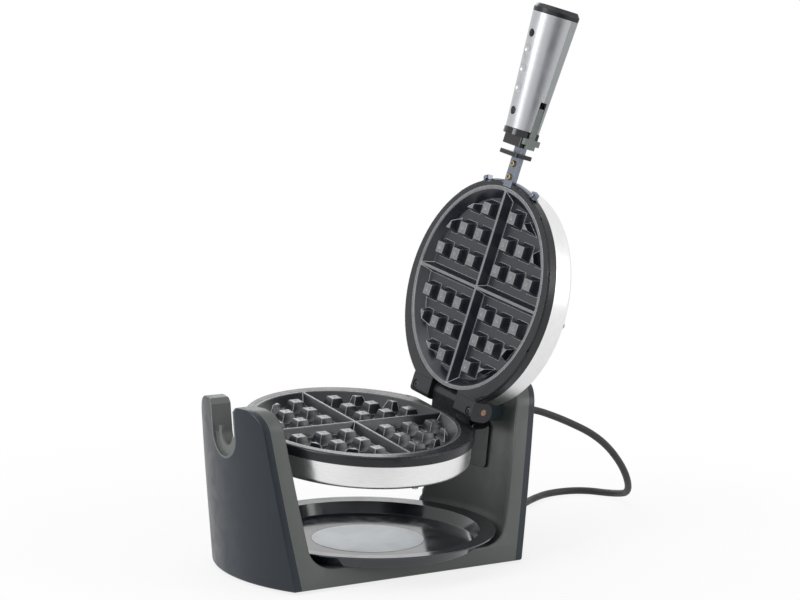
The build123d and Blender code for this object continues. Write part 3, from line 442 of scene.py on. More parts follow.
@dataclass(frozen=True)
class NonStick(Finish):
    """Non-stick coating on cast metal: a slight orange peel, with its raised tops and thin edge lines painted
    light as painted highlights.
    """

    home: str
    roughness: float = 0.34
    # Colour of the painted highlight on the plate's raised tops.
    painted_top_highlight: Triple = (0.165, 0.170, 0.178)
    # Colour of the painted highlight line along every edge.
    line: Triple = (0.62, 0.64, 0.67)

    def material(self) -> Material:
        """Make the material."""
        shader = Shader(self.name)
        place = shader.node("ShaderNodeSeparateXYZ", {}, {0: shader.position(HOMES[self.home])})
        height = Signal(shader, place.outputs[2])
        slow = shader.noise(20, 3)
        peel = shader.noise(520, 3)
        specks = shader.level(shader.cells(1500), 0.0, 0.22, 1.0, 0.0)
        edges = shader.edges(0.0010)
        # Painted highlight mask: everything within about a millimetre of the parting plane (the pyramid and
        # ridge tops and the lip), broken up by noise.
        patches = shader.level(height, 0.0013, 0.0007) * shader.level(shader.noise(160, 4), 0.25, 0.6, 0.7, 1.0)
        fat = shader.level(shader.noise(60, 4, twist=1.2), 0.45, 0.75)
        base = shader.mix(slow, self.tone(0.8), self.tone(1.25))
        base = shader.mix(specks * 0.25, base, self.tone(3.0))
        base = shader.mix(patches, base, self.painted_top_highlight)
        # Painted highlight: a thin light line along every edge.
        base = shader.mix(edges * 0.9, base, self.line)
        rough = shader.level(peel, 0.3, 0.7, self.roughness - 0.04, self.roughness + 0.08)
        return shader.dress(
            Base_Color=base,
            Roughness=(rough - fat * 0.10).clamped(),
            Coat_Weight=0.2,
            Coat_Roughness=0.2,
            Normal=shader.bump(peel, 0.00006, 0.35),
        )


@dataclass(frozen=True)
class SilverPaint(Finish):
    """Metallic paint on plastic: fine flakes under a satin film, worn where hands hold it, and edges
    lightened partly as wear and partly as a painted highlight.
    """

    roughness: float = 0.34

    def material(self) -> Material:
        """Make the material."""
        shader = Shader(self.name)
        flake = shader.flakes(4200)
        slow = shader.noise(18, 2)
        patches = shader.noise(80, 5, twist=0.7)
        edges = shader.edges(0.0008)
        base = shader.mix(flake, self.tone(0.86), self.tone(1.14))
        base = shader.mix(slow * 0.2, base, self.tone(0.75))
        # Edges lightened: partly wear, partly a painted highlight.
        base = shader.mix(edges * 0.5, base, self.tone(1.45))
        rough = shader.level(patches, 0.3, 0.75, self.roughness - 0.04, self.roughness + 0.08)
        return shader.dress(
            Base_Color=base,
            Metallic=0.8,
            Roughness=rough,
            Coat_Weight=0.15,
            Coat_Roughness=0.25,
            Normal=shader.bump(flake, 0.00001, 0.3),
        )


@dataclass(frozen=True)
class SoftRubber(Finish):
    """Matt rubber with faint flow lines and a bloom of dust."""

    roughness: float = 0.55

    def material(self) -> Material:
        """Make the material."""
        shader = Shader(self.name)
        grain = shader.noise(1300, 3)
        bloom = shader.level(shader.noise(90, 5), 0.45, 0.8)
        edges = shader.edges(0.0006)
        base = shader.mix(bloom * 0.35, self.tone(0.85), self.tone(1.8))
        # Edges lightened: partly wear, partly a painted highlight.
        base = shader.mix(edges * 0.3, base, self.tone(2.6))
        rough = shader.level(bloom, 0.0, 1.0, self.roughness - 0.05, self.roughness + 0.12)
        return shader.dress(Base_Color=base, Roughness=rough, Normal=shader.bump(grain, 0.00004, 0.4))


@dataclass(frozen=True)
class Enamel(Finish):
    """Glossy dark coating on pressed sheet, with faint press rings and edges lightened partly as wear and
    partly as a painted highlight.
    """

    roughness: float = 0.16

    def material(self) -> Material:
        """Make the material."""
        shader = Shader(self.name)
        waves = shader.noise(22, 2)
        peel = shader.noise(420, 3)
        haze = shader.level(shader.noise(46, 5, twist=1.0), 0.4, 0.75)
        edges = shader.edges(0.0007)
        base = shader.mix(waves, self.tone(0.85), self.tone(1.2))
        # Edges lightened: partly wear, partly a painted highlight.
        base = shader.mix(edges * 0.6, base, self.tone(3.2))
        rough = shader.level(haze, 0.0, 1.0, self.roughness - 0.03, self.roughness + 0.12)
        relief = shader.bump(waves, 0.0003, 0.12)
        return shader.dress(
            Base_Color=base,
            Roughness=rough,
            Coat_Weight=0.4,
            Coat_Roughness=0.08,
            Normal=shader.bump(peel, 0.00004, 0.3, over=relief),
        )


@dataclass(frozen=True)
class LampLens(Finish):
    """A small coloured lamp lens, ribbed inside."""

    def material(self) -> Material:
        """Make the material."""
        shader = Shader(self.name)
        ribs = shader.noise(700, 2)
        base = shader.mix(ribs, self.tone(0.75), self.tone(1.3))
        return shader.dress(
            Base_Color=base,
            Roughness=shader.level(ribs, 0.3, 0.7, 0.12, 0.25),
            Transmission_Weight=0.35,
            Normal=shader.bump(ribs, 0.00006, 0.4),
        )


class Look(Enum):
    """The finishes on this object."""

    COVER = MouldedPlastic("cover_plastic", (0.011, 0.017, 0.025), 0.36, specular=0.40)
    FRAME = MouldedPlastic("frame_plastic", (0.084, 0.094, 0.086), 0.40)
    BLACK = MouldedPlastic("black_plastic", (0.020, 0.023, 0.027), 0.40)
    CRADLE = MouldedPlastic("cradle_plastic", (0.095, 0.105, 0.098), 0.34)
    RIM = MouldedPlastic("rim_plastic", (0.013, 0.014, 0.017), 0.30, specular=0.38)
    GLOSS = MouldedPlastic("gloss_plastic", (0.008, 0.008, 0.010), 0.16, grain_depth=0.00001)
    PIVOT = MouldedPlastic("pivot_plastic", (0.034, 0.052, 0.062), 0.46)
    LATCH = MouldedPlastic("latch_plastic", (0.155, 0.178, 0.165), 0.36)
    CERAMIC = MouldedPlastic("terminal_plastic", (0.62, 0.60, 0.55), 0.5)
    TIE = MouldedPlastic("tie_plastic", (0.020, 0.020, 0.021), 0.5)
    RUBBER = SoftRubber("black_rubber", (0.014, 0.015, 0.016))
    STEEL_LID = FineMetal("brushed_steel_lid", (0.80, 0.80, 0.80), 0.34, Lay.ROUND, "lid", 0.07)
    STEEL_LOWER = FineMetal("brushed_steel_lower", (0.82, 0.82, 0.82), 0.32, Lay.ROUND, "lower", 0.07)
    BARE_STEEL = FineMetal("bare_steel", (0.50, 0.50, 0.51), 0.34)
    DARK_STEEL = FineMetal("blackened_steel", (0.10, 0.10, 0.11), 0.36)
    ZINC = FineMetal("zinc_plate", (0.24, 0.265, 0.315), 0.34, contrast=0.35)
    BRASS = FineMetal("yellow_passivate", (0.42, 0.35, 0.22), 0.34, contrast=0.35)
    COPPER = FineMetal("copper_end", (0.30, 0.19, 0.13), 0.38, contrast=0.3)
    HEATER = FineMetal("heater_sheath", (0.26, 0.25, 0.24), 0.5, metallic=0.8)
    DISC = FineMetal("bare_disc", (0.40, 0.42, 0.44), 0.42, Lay.ROUND, metallic=0.55)
    # The non-stick plates carry a painted highlight on their raised tops, dimmer on the lower plate.
    NONSTICK_LID = NonStick("nonstick_lid", (0.007, 0.009, 0.015), "lid")
    NONSTICK_LOWER = NonStick("nonstick_lower", (0.008, 0.010, 0.014), "lower", painted_top_highlight=(0.060, 0.064, 0.067))
    SILVER = SilverPaint("silver_paint", (0.46, 0.47, 0.49))
    SILVER_BACK = SilverPaint("silver_paint_back", (0.30, 0.32, 0.32))
    TRAY = Enamel("tray_coating", (0.013, 0.017, 0.024))
    LENS = LampLens("lamp_lens", (0.70, 0.13, 0.07))


class Wardrobe(dict):
    """Makes each finish's material once and hands it out."""

    def __missing__(self, look: Look) -> Material:
        """Make the material of a look on its first use."""
        self[look] = look.value.material()
        return self[look]


WARDROBE = Wardrobe()


# Meshes
def slot_of(node: str) -> str:
    """Look up the record's material slot of a CAD node."""
    return next(part["material_slot"] for part in frame["record"]["subparts"] if part["node"] == node)


def body_of(node: str) -> str:
    """Look up the body that a CAD node belongs to."""
    return next(body for body, nodes in frame["record"]["behaviour"]["bodies"].items() if node in nodes)


def linked(name: str, data: bpy.types.ID) -> Object:
    """Make an object of some data and put it in the scene."""
    made = bpy.data.objects.new(name, data)
    bpy.context.scene.collection.objects.link(made)
    return made


def finished(shaped: Shape, name: str, place: Matrix | None = None) -> Mesh:
    """Turn a shape's faces outwards and make it a mesh, put in its place."""
    bmesh.ops.recalc_face_normals(shaped, faces=shaped.faces)
    mesh = bpy.data.meshes.new(name)
    shaped.to_mesh(mesh)
    shaped.free()
    if place is not None:
        mesh.transform(place)
    return mesh


def circle(
    shaped: Shape, radius: float, height: float, count: int
) -> list[bmesh.types.BMVert]:
    """Add a ring of points, with its sizes in millimetres."""
    angles = [FULL_TURN * i / count for i in range(count)]
    places = [(radius * MM * math.cos(a), radius * MM * math.sin(a), height * MM) for a in angles]
    return [shaped.verts.new(place) for place in places]


def wall(shaped: Shape, low: list, high: list) -> None:
    """Join two rings of points by a wall."""
    for i in range(len(low)):
        j = (i + 1) % len(low)
        shaped.faces.new((low[i], low[j], high[j], high[i]))


def new_object(name: str, mesh: Mesh, look: Look | None = None) -> Object:
    """Put a mesh in the scene.

    Args:
        name: The new object's name.
        mesh: Its mesh, already in place.
        look: Its finish, or None where the mesh has its own.

    Returns:
        The new object.
    """
    piece = linked(name, mesh)
    if look is not None:
        mesh.materials.clear()
        mesh.materials.append(WARDROBE[look])
    return piece


def smooth_by_angle(mesh: Mesh, limit: float) -> None:
    """Shade a mesh smooth, except over edges sharper than a limit in degrees."""
    shaped = bmesh.new()
    shaped.from_mesh(mesh)
    for face in shaped.faces:
        face.smooth = True
    for edge in shaped.edges:
        sharp = len(edge.link_faces) != 2 or edge.calc_face_angle(0.0) > math.radians(limit)
        edge.smooth = not sharp
    shaped.to_mesh(mesh)
    shaped.free()


def settled(piece: Object) -> Mesh:
    """Turn an object with its modifiers into a plain mesh, which it then has."""
    graph = bpy.context.evaluated_depsgraph_get()
    mesh = bpy.data.meshes.new_from_object(piece.evaluated_get(graph))
    piece.modifiers.clear()
    piece.data = mesh
    return mesh


def attach(piece: Object, node: str, *others: str) -> Object:
    """Let a piece stand for CAD nodes and ride on their body."""
    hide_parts(node, *others)
    slot_of(node)
    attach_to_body(piece, body_of(node))
    return piece


def eased(node: str, look: Look, rounding: float = 0.0, limit: float = 28.0) -> Object:
    """Stand in for a CAD node with a merged copy that is shaded smooth and has soft edges.

    Args:
        node: The CAD node.
        look: Its finish.
        rounding: The width of the soft edges in millimetres, or 0 for none.
        limit: The angle in degrees from which an edge counts as sharp.

    Returns:
        The new piece.
    """
    mesh = frame["nodes"][node].data.copy()
    shaped = bmesh.new()
    shaped.from_mesh(mesh)
    bmesh.ops.remove_doubles(shaped, verts=shaped.verts, dist=MERGE)
    bmesh.ops.dissolve_degenerate(shaped, edges=shaped.edges, dist=MERGE)
    flat = math.radians(FLAT_ANGLE)
    bmesh.ops.dissolve_limit(shaped, angle_limit=flat, verts=shaped.verts, edges=shaped.edges)
    shaped.to_mesh(mesh)
    shaped.free()
    for name in ("custom_normal", "sharp_face"):
        found = mesh.attributes.get(name)
        if found:
            mesh.attributes.remove(found)
    smooth_by_angle(mesh, limit)
    piece = new_object(f"{node}_piece", mesh, look)
    if rounding:
        soften = piece.modifiers.new("soft_edges", "BEVEL")
        soften.limit_method = "ANGLE"
        soften.angle_limit = math.radians(limit)
        soften.width = rounding * MM
        soften.segments = 2
        soften.use_clamp_overlap = False
        soften.harden_normals = True
        settled(piece)
    return attach(piece, node)


def spun(profile: Iterable[Pair], steps: int, place: Matrix) -> Mesh:
    """Turn a profile about its z axis.

    Args:
        profile: Radius and height of each point, in millimetres.
        steps: How many steps the turn has.
        place: Where the shape goes.

    Returns:
        The mesh, with its faces pointing outwards.
    """
    shaped = bmesh.new()
    points = [shaped.verts.new((radius * MM, 0, height * MM)) for radius, height in profile]
    edges = [shaped.edges.new(pair) for pair in zip(points, points[1:])]
    bmesh.ops.spin(
        shaped, geom=points + edges, axis=(0, 0, 1), cent=(0, 0, 0), angle=FULL_TURN, steps=steps,
        use_duplicate=False, use_merge=True,
    )
    bmesh.ops.remove_doubles(shaped, verts=shaped.verts, dist=1e-6)
    return finished(shaped, "spun", place)


def joined(name: str, meshes: Iterable[Mesh], look: Look) -> Object:
    """Join meshes into one piece with one finish."""
    shaped = bmesh.new()
    for mesh in meshes:
        shaped.from_mesh(mesh)
    for face in shaped.faces:
        face.material_index = 0
    whole = bpy.data.meshes.new(name)
    shaped.to_mesh(whole)
    shaped.free()
    return new_object(name, whole, look)


def arc(middle: Pair, radius: float, start: float, end: float, count: int) -> list[Pair]:
    """Give points on an arc, from one angle in degrees to another."""
    angles = [math.radians(start + (end - start) * i / (count - 1)) for i in range(count)]
    return [(middle[0] + radius * math.cos(a), middle[1] + radius * math.sin(a)) for a in angles]


class Tree(Graph):
    """A geometry node tree built step by step."""

    def __init__(self, name: str) -> None:
        """Start a tree with a geometry input and output.

        Args:
            name: The tree's name.
        """
        group = bpy.data.node_groups.new(name, "GeometryNodeTree")
        for way in ("INPUT", "OUTPUT"):
            group.interface.new_socket("Geometry", in_out=way, socket_type="NodeSocketGeometry")
        super().__init__(group)
        self.entry = self.node("NodeGroupInput")
        self.exit = self.node("NodeGroupOutput")
        self._idents: dict[str, str] = {}

    def given(self, name: str, kind: str) -> Signal:
        """Add a named input and return its signal inside the tree."""
        item = self.tree.interface.new_socket(name, in_out="INPUT", socket_type=kind)
        self._idents[name] = item.identifier
        return Signal(self, self.entry.outputs[name])

    def finish(self, geometry: Signal, material: Signal) -> None:
        """Realize the instances, set the material and end the tree."""
        solid = self.signal("GeometryNodeRealizeInstances", 0, {}, {"Geometry": geometry})
        sockets = {"Geometry": solid, "Material": material}
        self.feed(self.exit.inputs[0], self.signal("GeometryNodeSetMaterial", 0, {}, sockets))

    def run(self, piece: Object, values: dict) -> Mesh:
        """Run the tree on an object.

        Args:
            piece: The object whose mesh goes in.
            values: The named inputs' values.

        Returns:
            The plain mesh that comes out, which the object then has.
        """
        modifier = piece.modifiers.new(self.tree.name, "NODES")
        modifier.node_group = self.tree
        for name, value in values.items():
            modifier[self._idents[name]] = value
        return settled(piece)


def scatter_tree() -> Tree:
    """Make the tree that sets a copy of a template on each point of a mesh."""
    tree = Tree("set_on_points")
    template = tree.given("Template", "NodeSocketObject")
    turn = tree.given("Turn", "NodeSocketFloat")
    material = tree.given("Material", "NodeSocketMaterial")
    spots = Signal(tree, tree.entry.outputs["Geometry"])
    shape = tree.signal("GeometryNodeObjectInfo", "Geometry", {}, {"Object": template})
    angle = tree.signal("ShaderNodeCombineXYZ", 0, {}, {"Z": turn})
    sockets = {"Points": spots, "Instance": shape, "Rotation": angle}
    tree.finish(tree.signal("GeometryNodeInstanceOnPoints", 0, {}, sockets), material)
    return tree


def copies(
    name: str, template: Mesh, points: Iterable[Triple], look: Look, turn: float = 0.0
) -> Mesh:
    """Repeat a template mesh on points, as one plain mesh.

    Args:
        name: What the copies are.
        template: The mesh to repeat.
        points: Where the copies go, in millimetres.
        look: Their finish.
        turn: How far each is turned about its z axis, in radians.

    Returns:
        The plain mesh.
    """
    shape = new_object(f"{name}_template", template, look)
    spots = bpy.data.meshes.new(f"{name}_points")
    spots.from_pydata([[part * MM for part in point] for point in points], [], [])
    carrier = new_object(f"{name}_carrier", spots)
    mesh = scatter_tree().run(carrier, {"Template": shape, "Turn": turn, "Material": WARDROBE[look]})
    bpy.data.objects.remove(carrier)
    bpy.data.objects.remove(shape)
    return mesh


# Studio
@dataclass(frozen=True)
class Softbox:
    """A soft lamp aimed at the object."""

    name: str
    place: Triple
    size: Pair
    power: float
    aim: Triple = (0.0, 0.0, 0.2)

    def set_up(self) -> Object:
        """Put the lamp in the scene."""
        data = bpy.data.lights.new(self.name, "AREA")
        data.shape = "RECTANGLE"
        data.size, data.size_y = self.size
        data.energy = self.power
        lamp = linked(self.name, data)
        lamp.location = self.place
        lamp.rotation_euler = (Vector(self.aim) - Vector(self.place)).to_track_quat("-Z", "Y").to_euler()
        return lamp


def sheet(name: str, corners: Sequence[Triple], material: Material) -> Object:
    """Make a flat piece of the studio.

    Args:
        name: Its name.
        corners: Its four corners in turn, in metres.
        material: Its material.

    Returns:
        The new object.
    """
    mesh = bpy.data.meshes.new(name)
    mesh.from_pydata(corners, [], [(0, 1, 2, 3)])
    mesh.materials.append(material)
    piece = linked(name, mesh)
    return piece


@dataclass(frozen=True)
class Flag:
    """A black card that only reflections see."""

    name: str
    low: Triple
    high: Triple
    tone: Triple = (0.01, 0.01, 0.01)

    def set_up(self) -> Object:
        """Put the card in the scene, upright and facing the object."""
        (x0, y0, z0), (x1, y1, z1) = self.low, self.high
        shader = Shader(self.name)
        card = shader.dress(Base_Color=self.tone, Specular_IOR_Level=0.0)
        flag = sheet(self.name, [(x0, y0, z0), (x1, y1, z0), (x1, y1, z1), (x0, y0, z1)], card)
        flag.visible_camera = False
        flag.visible_diffuse = False
        flag.visible_shadow = False
        flag.visible_transmission = False
        return flag


@dataclass
class Studio:
    """The camera, the lamps, the white surroundings and the floor."""

    eye: Triple = (-1.2295, -1.9434, 0.5995)
    aim: Triple = (0.0295, 0.0, 0.2379)
    roll: float = 0.0213
    lens: float = 117.0
    floor_size: float = 8.0
    surround: float = 0.45
    floor_tone: Triple = (0.88, 0.88, 0.88)
    floor_glow: float = 0.82
    fade_start: float = 0.20
    fade_end: float = 0.62
    boxes: tuple[Softbox, ...] = (
        Softbox("key", (-2.3, -0.5, 1.5), (1.2, 1.4), 42.0),
        Softbox("fill", (1.7, -2.0, 1.1), (1.0, 1.4), 14.0),
        Softbox("back", (0.8, 2.2, 1.6), (1.6, 1.0), 14.0),
        Softbox("top", (-0.2, 0.0, 2.4), (1.4, 1.4), 7.0),
    )
    flags: tuple[Flag, ...] = (
        Flag("low_flag", (-0.42, -0.46, 0.0), (0.04, -0.50, 0.22)),
        Flag("high_flag", (-0.06, -0.55, 0.24), (0.24, -0.55, 0.75)),
    )

    def camera(self) -> Object:
        """Set up the camera at the photographed view."""
        eye, aim = Vector(self.eye), Vector(self.aim)
        ahead = (aim - eye).normalized()
        right = ahead.cross(Vector((0, 0, 1))).normalized()
        up = right.cross(ahead)
        across = right * math.cos(self.roll) + up * math.sin(self.roll)
        over = up * math.cos(self.roll) - right * math.sin(self.roll)
        data = bpy.data.cameras.new("view")
        data.lens = self.lens
        data.sensor_width = 36.0
        seen = linked("view", data)
        turn = Matrix((across, over, -ahead)).transposed().to_4x4()
        seen.matrix_world = Matrix.Translation(eye) @ turn
        bpy.context.scene.camera = seen
        return seen

    def surroundings(self) -> None:
        """Make the world white to the camera and a plain grey light to the rest."""
        world = bpy.data.worlds.new("surroundings")
        bpy.context.scene.world = world
        world.use_nodes = True
        graph = Graph(world.node_tree)
        grey = (self.surround, self.surround, self.surround * 1.02)
        lighting = graph.signal("ShaderNodeBackground", 0, {}, {"Color": grey})
        seen = graph.signal("ShaderNodeBackground", 0, {}, {"Color": WHITE})
        mixed = graph.signal("ShaderNodeMixShader", 0, {}, {0: graph.seen_share(), 1: lighting, 2: seen})
        graph.node("ShaderNodeOutputWorld", {}, {0: mixed})

    def floor(self) -> Object:
        """Lay the pale floor, which keeps a soft shadow and fades to white far off."""
        material = bpy.data.materials.new("pale_floor")
        material.use_nodes = True
        graph = Graph(material.node_tree)
        place = graph.signal("ShaderNodeTexCoord", "Object")
        reach = graph.signal("ShaderNodeVectorMath", "Value", {"operation": "LENGTH"}, {0: place})
        weight = graph.seen_share() * graph.level(reach, self.fade_start, self.fade_end, self.floor_glow)
        lit = graph.signal("ShaderNodeBsdfDiffuse", 0, {}, {"Color": self.floor_tone})
        glow = graph.signal("ShaderNodeEmission", 0, {}, {"Color": WHITE})
        mixed = graph.signal("ShaderNodeMixShader", 0, {}, {0: weight, 1: lit, 2: glow})
        graph.node("ShaderNodeOutputMaterial", {}, {0: mixed})
        half = self.floor_size / 2
        corners = [(x * half, y * half, 0) for x, y in ((-1, -1), (1, -1), (1, 1), (-1, 1))]
        return sheet("floor", corners, material)

    def build(self) -> None:
        """Set up the whole studio."""
        bpy.context.scene.view_settings.view_transform = "Standard"
        self.camera()
        self.surroundings()
        self.floor()
        for thing in (*self.boxes, *self.flags):
            thing.set_up()


# Power cord
@dataclass
class PowerCord:
    """The free mains cord, its coil and the plug on its end."""

    radius: float = 3.5
    length: float = 1170.0
    exit: Triple = (168.0, 30.0, 120.0)
    route: tuple[Triple, ...] = (
        (168, 30, 120), (194, 30, 120), (238, 30, 104), (286, 31, 80.5),
        (322, 39, 46), (346, 58, 14), (355, 94, 4.0), (335, 125, 4.2),
        (298, 130, 4.0), (264, 113, 4.4), (240, 95.35, 4.8),
    )
    coil_middle: Pair = (203.0, 140.0)
    coil_turns: int = 3
    coil_inner: float = 32.35
    coil_pitch: float = 8.2
    coil_rest: float = 4.8
    coil_layer: float = 7.9
    coil_tail: float = 14.0
    points_a_turn: int = 16
    climb_turns: float = 0.5

    def coil_point(self, turns: float) -> Triple:
        """Give a point of the coil, after a number of turns."""
        middle = self.coil_turns / 2
        swell = 2 / (1 + math.cos(FULL_TURN / self.points_a_turn))
        radius = (self.coil_inner + self.coil_pitch * abs(turns - middle)) * swell
        climb = min(max((turns - middle) / self.climb_turns + 0.5, 0), 1)
        angle = QUARTER_TURN + FULL_TURN * turns
        return (
            self.coil_middle[0] + radius * math.cos(angle),
            self.coil_middle[1] - radius * math.sin(angle),
            self.coil_rest + self.coil_layer * climb,
        )

    def line(self) -> list[Triple]:
        """Give the control points of the whole cord."""
        count = self.coil_turns * self.points_a_turn
        coil = [self.coil_point(i / self.points_a_turn) for i in range(count + 1)]
        last = coil[-1]
        tail = (last[0] - self.coil_tail, last[1], last[2])
        return [*self.route, *coil, tail]

    def build(self) -> Object:
        """Make the cord as one smooth tube with its end pieces."""
        curve = bpy.data.curves.new("power_cord", "CURVE")
        curve.dimensions = "3D"
        curve.bevel_depth = self.radius * MM
        curve.bevel_resolution = 5
        curve.resolution_u = 8
        curve.use_fill_caps = True
        spline = curve.splines.new("NURBS")
        points = self.line()
        spline.points.add(len(points) - 1)
        for point, place in zip(spline.points, points):
            point.co = (*(part * MM for part in place), 1.0)
        spline.order_u = 3
        spline.use_endpoint_u = True
        cord = linked("power_cord", curve)
        curve.materials.append(WARDROBE[Look.RUBBER])
        attach(cord, "cord", "cord_coil")
        plug = eased("plug", Look.RUBBER, 0.6)
        pins = eased("plug_pins", Look.BARE_STEEL)
        ties = eased("cord_ties", Look.TIE, 0.3)
        [part * MM for part in self.exit]
        return cord


# Fasteners
@dataclass(frozen=True)
class ScrewKind:
    """A screw's head: a low dome with a cross, or a hexagon."""

    radius: float
    height: float
    cross: float = 0.0
    sides: int = 32
    outline: tuple[Pair, ...] = ((1, 0), (1, 0.55), (0.9, 0.85), (0.66, 1))
    arm_share: float = 0.3
    bed_share: float = 0.25
    taper: float = 0.72

    def _cross(self, shaped: Shape, height: float, shrink: float = 1.0) -> list:
        """Add the outline of the driver's cross."""
        long, narrow = self.cross * shrink, self.cross * self.arm_share * shrink
        corners = []
        for quarter in range(4):
            turn = Matrix.Rotation(QUARTER_TURN * quarter, 2)
            for corner in ((long, -narrow), (long, narrow), (narrow, narrow)):
                x, y = turn @ Vector(corner)
                corners.append(shaped.verts.new((x * MM, y * MM, height * MM)))
        return corners

    @staticmethod
    def _loop(shaped: Shape, ring: list) -> list[bmesh.types.BMEdge]:
        """Join a ring of points by edges."""
        pairs = zip(ring, ring[1:] + ring[:1])
        return [shaped.edges.get(pair) or shaped.edges.new(pair) for pair in pairs]

    def mesh(self) -> Mesh:
        """Make the head, standing on its underside with its top towards +z."""
        shaped = bmesh.new()
        rings = [
            circle(shaped, self.radius * wide, self.height * high, self.sides)
            for wide, high in self.outline
        ]
        crown = rings[-1]
        shaped.faces.new(list(reversed(rings[0])))
        for low, high in zip(rings, rings[1:]):
            wall(shaped, low, high)
        if self.cross:
            mouth = self._cross(shaped, self.height)
            bed = self._cross(shaped, self.height * self.bed_share, self.taper)
            rims = self._loop(shaped, crown) + self._loop(shaped, mouth)
            bmesh.ops.triangle_fill(shaped, use_beauty=True, use_dissolve=False, edges=rims)
            wall(shaped, bed, mouth)
            shaped.faces.new(bed)
        else:
            shaped.faces.new(crown)
        mesh = finished(shaped, "screw_head")
        smooth_by_angle(mesh, SCREW_SMOOTH)
        return mesh


@dataclass
class ScrewGroup:
    """Like screws of one CAD node, on one plane of a working frame."""

    node: str
    kind: ScrewKind
    look: Look
    place: Matrix
    spots: tuple[Triple, ...]
    facing: float = 1.0
    shank: float = 0.0
    shank_length: float = 0.0
    turn: float = 0.4

    def build(self) -> Object:
        """Make the group's heads and shanks."""
        template = bmesh.new()
        template.from_mesh(self.kind.mesh())
        if self.shank:
            radius, length = self.shank * MM, self.shank_length * MM
            bmesh.ops.create_cone(
                template, cap_ends=True, segments=16, radius1=radius, radius2=radius, depth=length,
                matrix=Matrix.Translation((0, 0, -length / 2)),
            )
        mesh = bpy.data.meshes.new(f"{self.node}_template")
        template.to_mesh(mesh)
        template.free()
        if self.facing < 0:
            mesh.transform(Matrix.Rotation(math.pi, 4, "X"))
        whole = copies(self.node, mesh, self.spots, self.look, self.turn)
        whole.transform(self.place)
        smooth_by_angle(whole, SCREW_SMOOTH)
        piece = new_object(f"{self.node}_piece", whole, self.look)
        return attach(piece, self.node)


# Stand
@dataclass
class Stand:
    """The U-shaped stand with its covers, cradle and base."""

    screw_x: float = 95.0
    screw_y: float = 48.0
    screw_height: float = 4.1

    def build(self) -> None:
        """Dress the stand."""
        eased("stand_frame", Look.FRAME)
        for node in ("left_cover", "right_cover"):
            eased(node, Look.COVER)
        eased("cradle", Look.CRADLE, 0.25)
        eased("inner_cover", Look.BLACK, 0.5)
        eased("bottom_plate", Look.BLACK, 0.3)
        eased("feet", Look.RUBBER, 0.5)
        eased("pivot_bush", Look.CRADLE, 0.2)
        eased("terminal_block", Look.CERAMIC, 0.3)
        eased("strain_relief", Look.RUBBER, 0.4)
        signs = ((-1, -1), (-1, 1), (1, -1), (1, 1))
        spots = tuple((x * self.screw_x, y * self.screw_y, self.screw_height) for x, y in signs)
        ScrewGroup(
            "bottom_screws", ScrewKind(3.0, 1.1, 1.6), Look.BARE_STEEL, Matrix.Identity(4), spots,
            facing=-1.0, shank=1.4, shank_length=9.0,
        ).build()


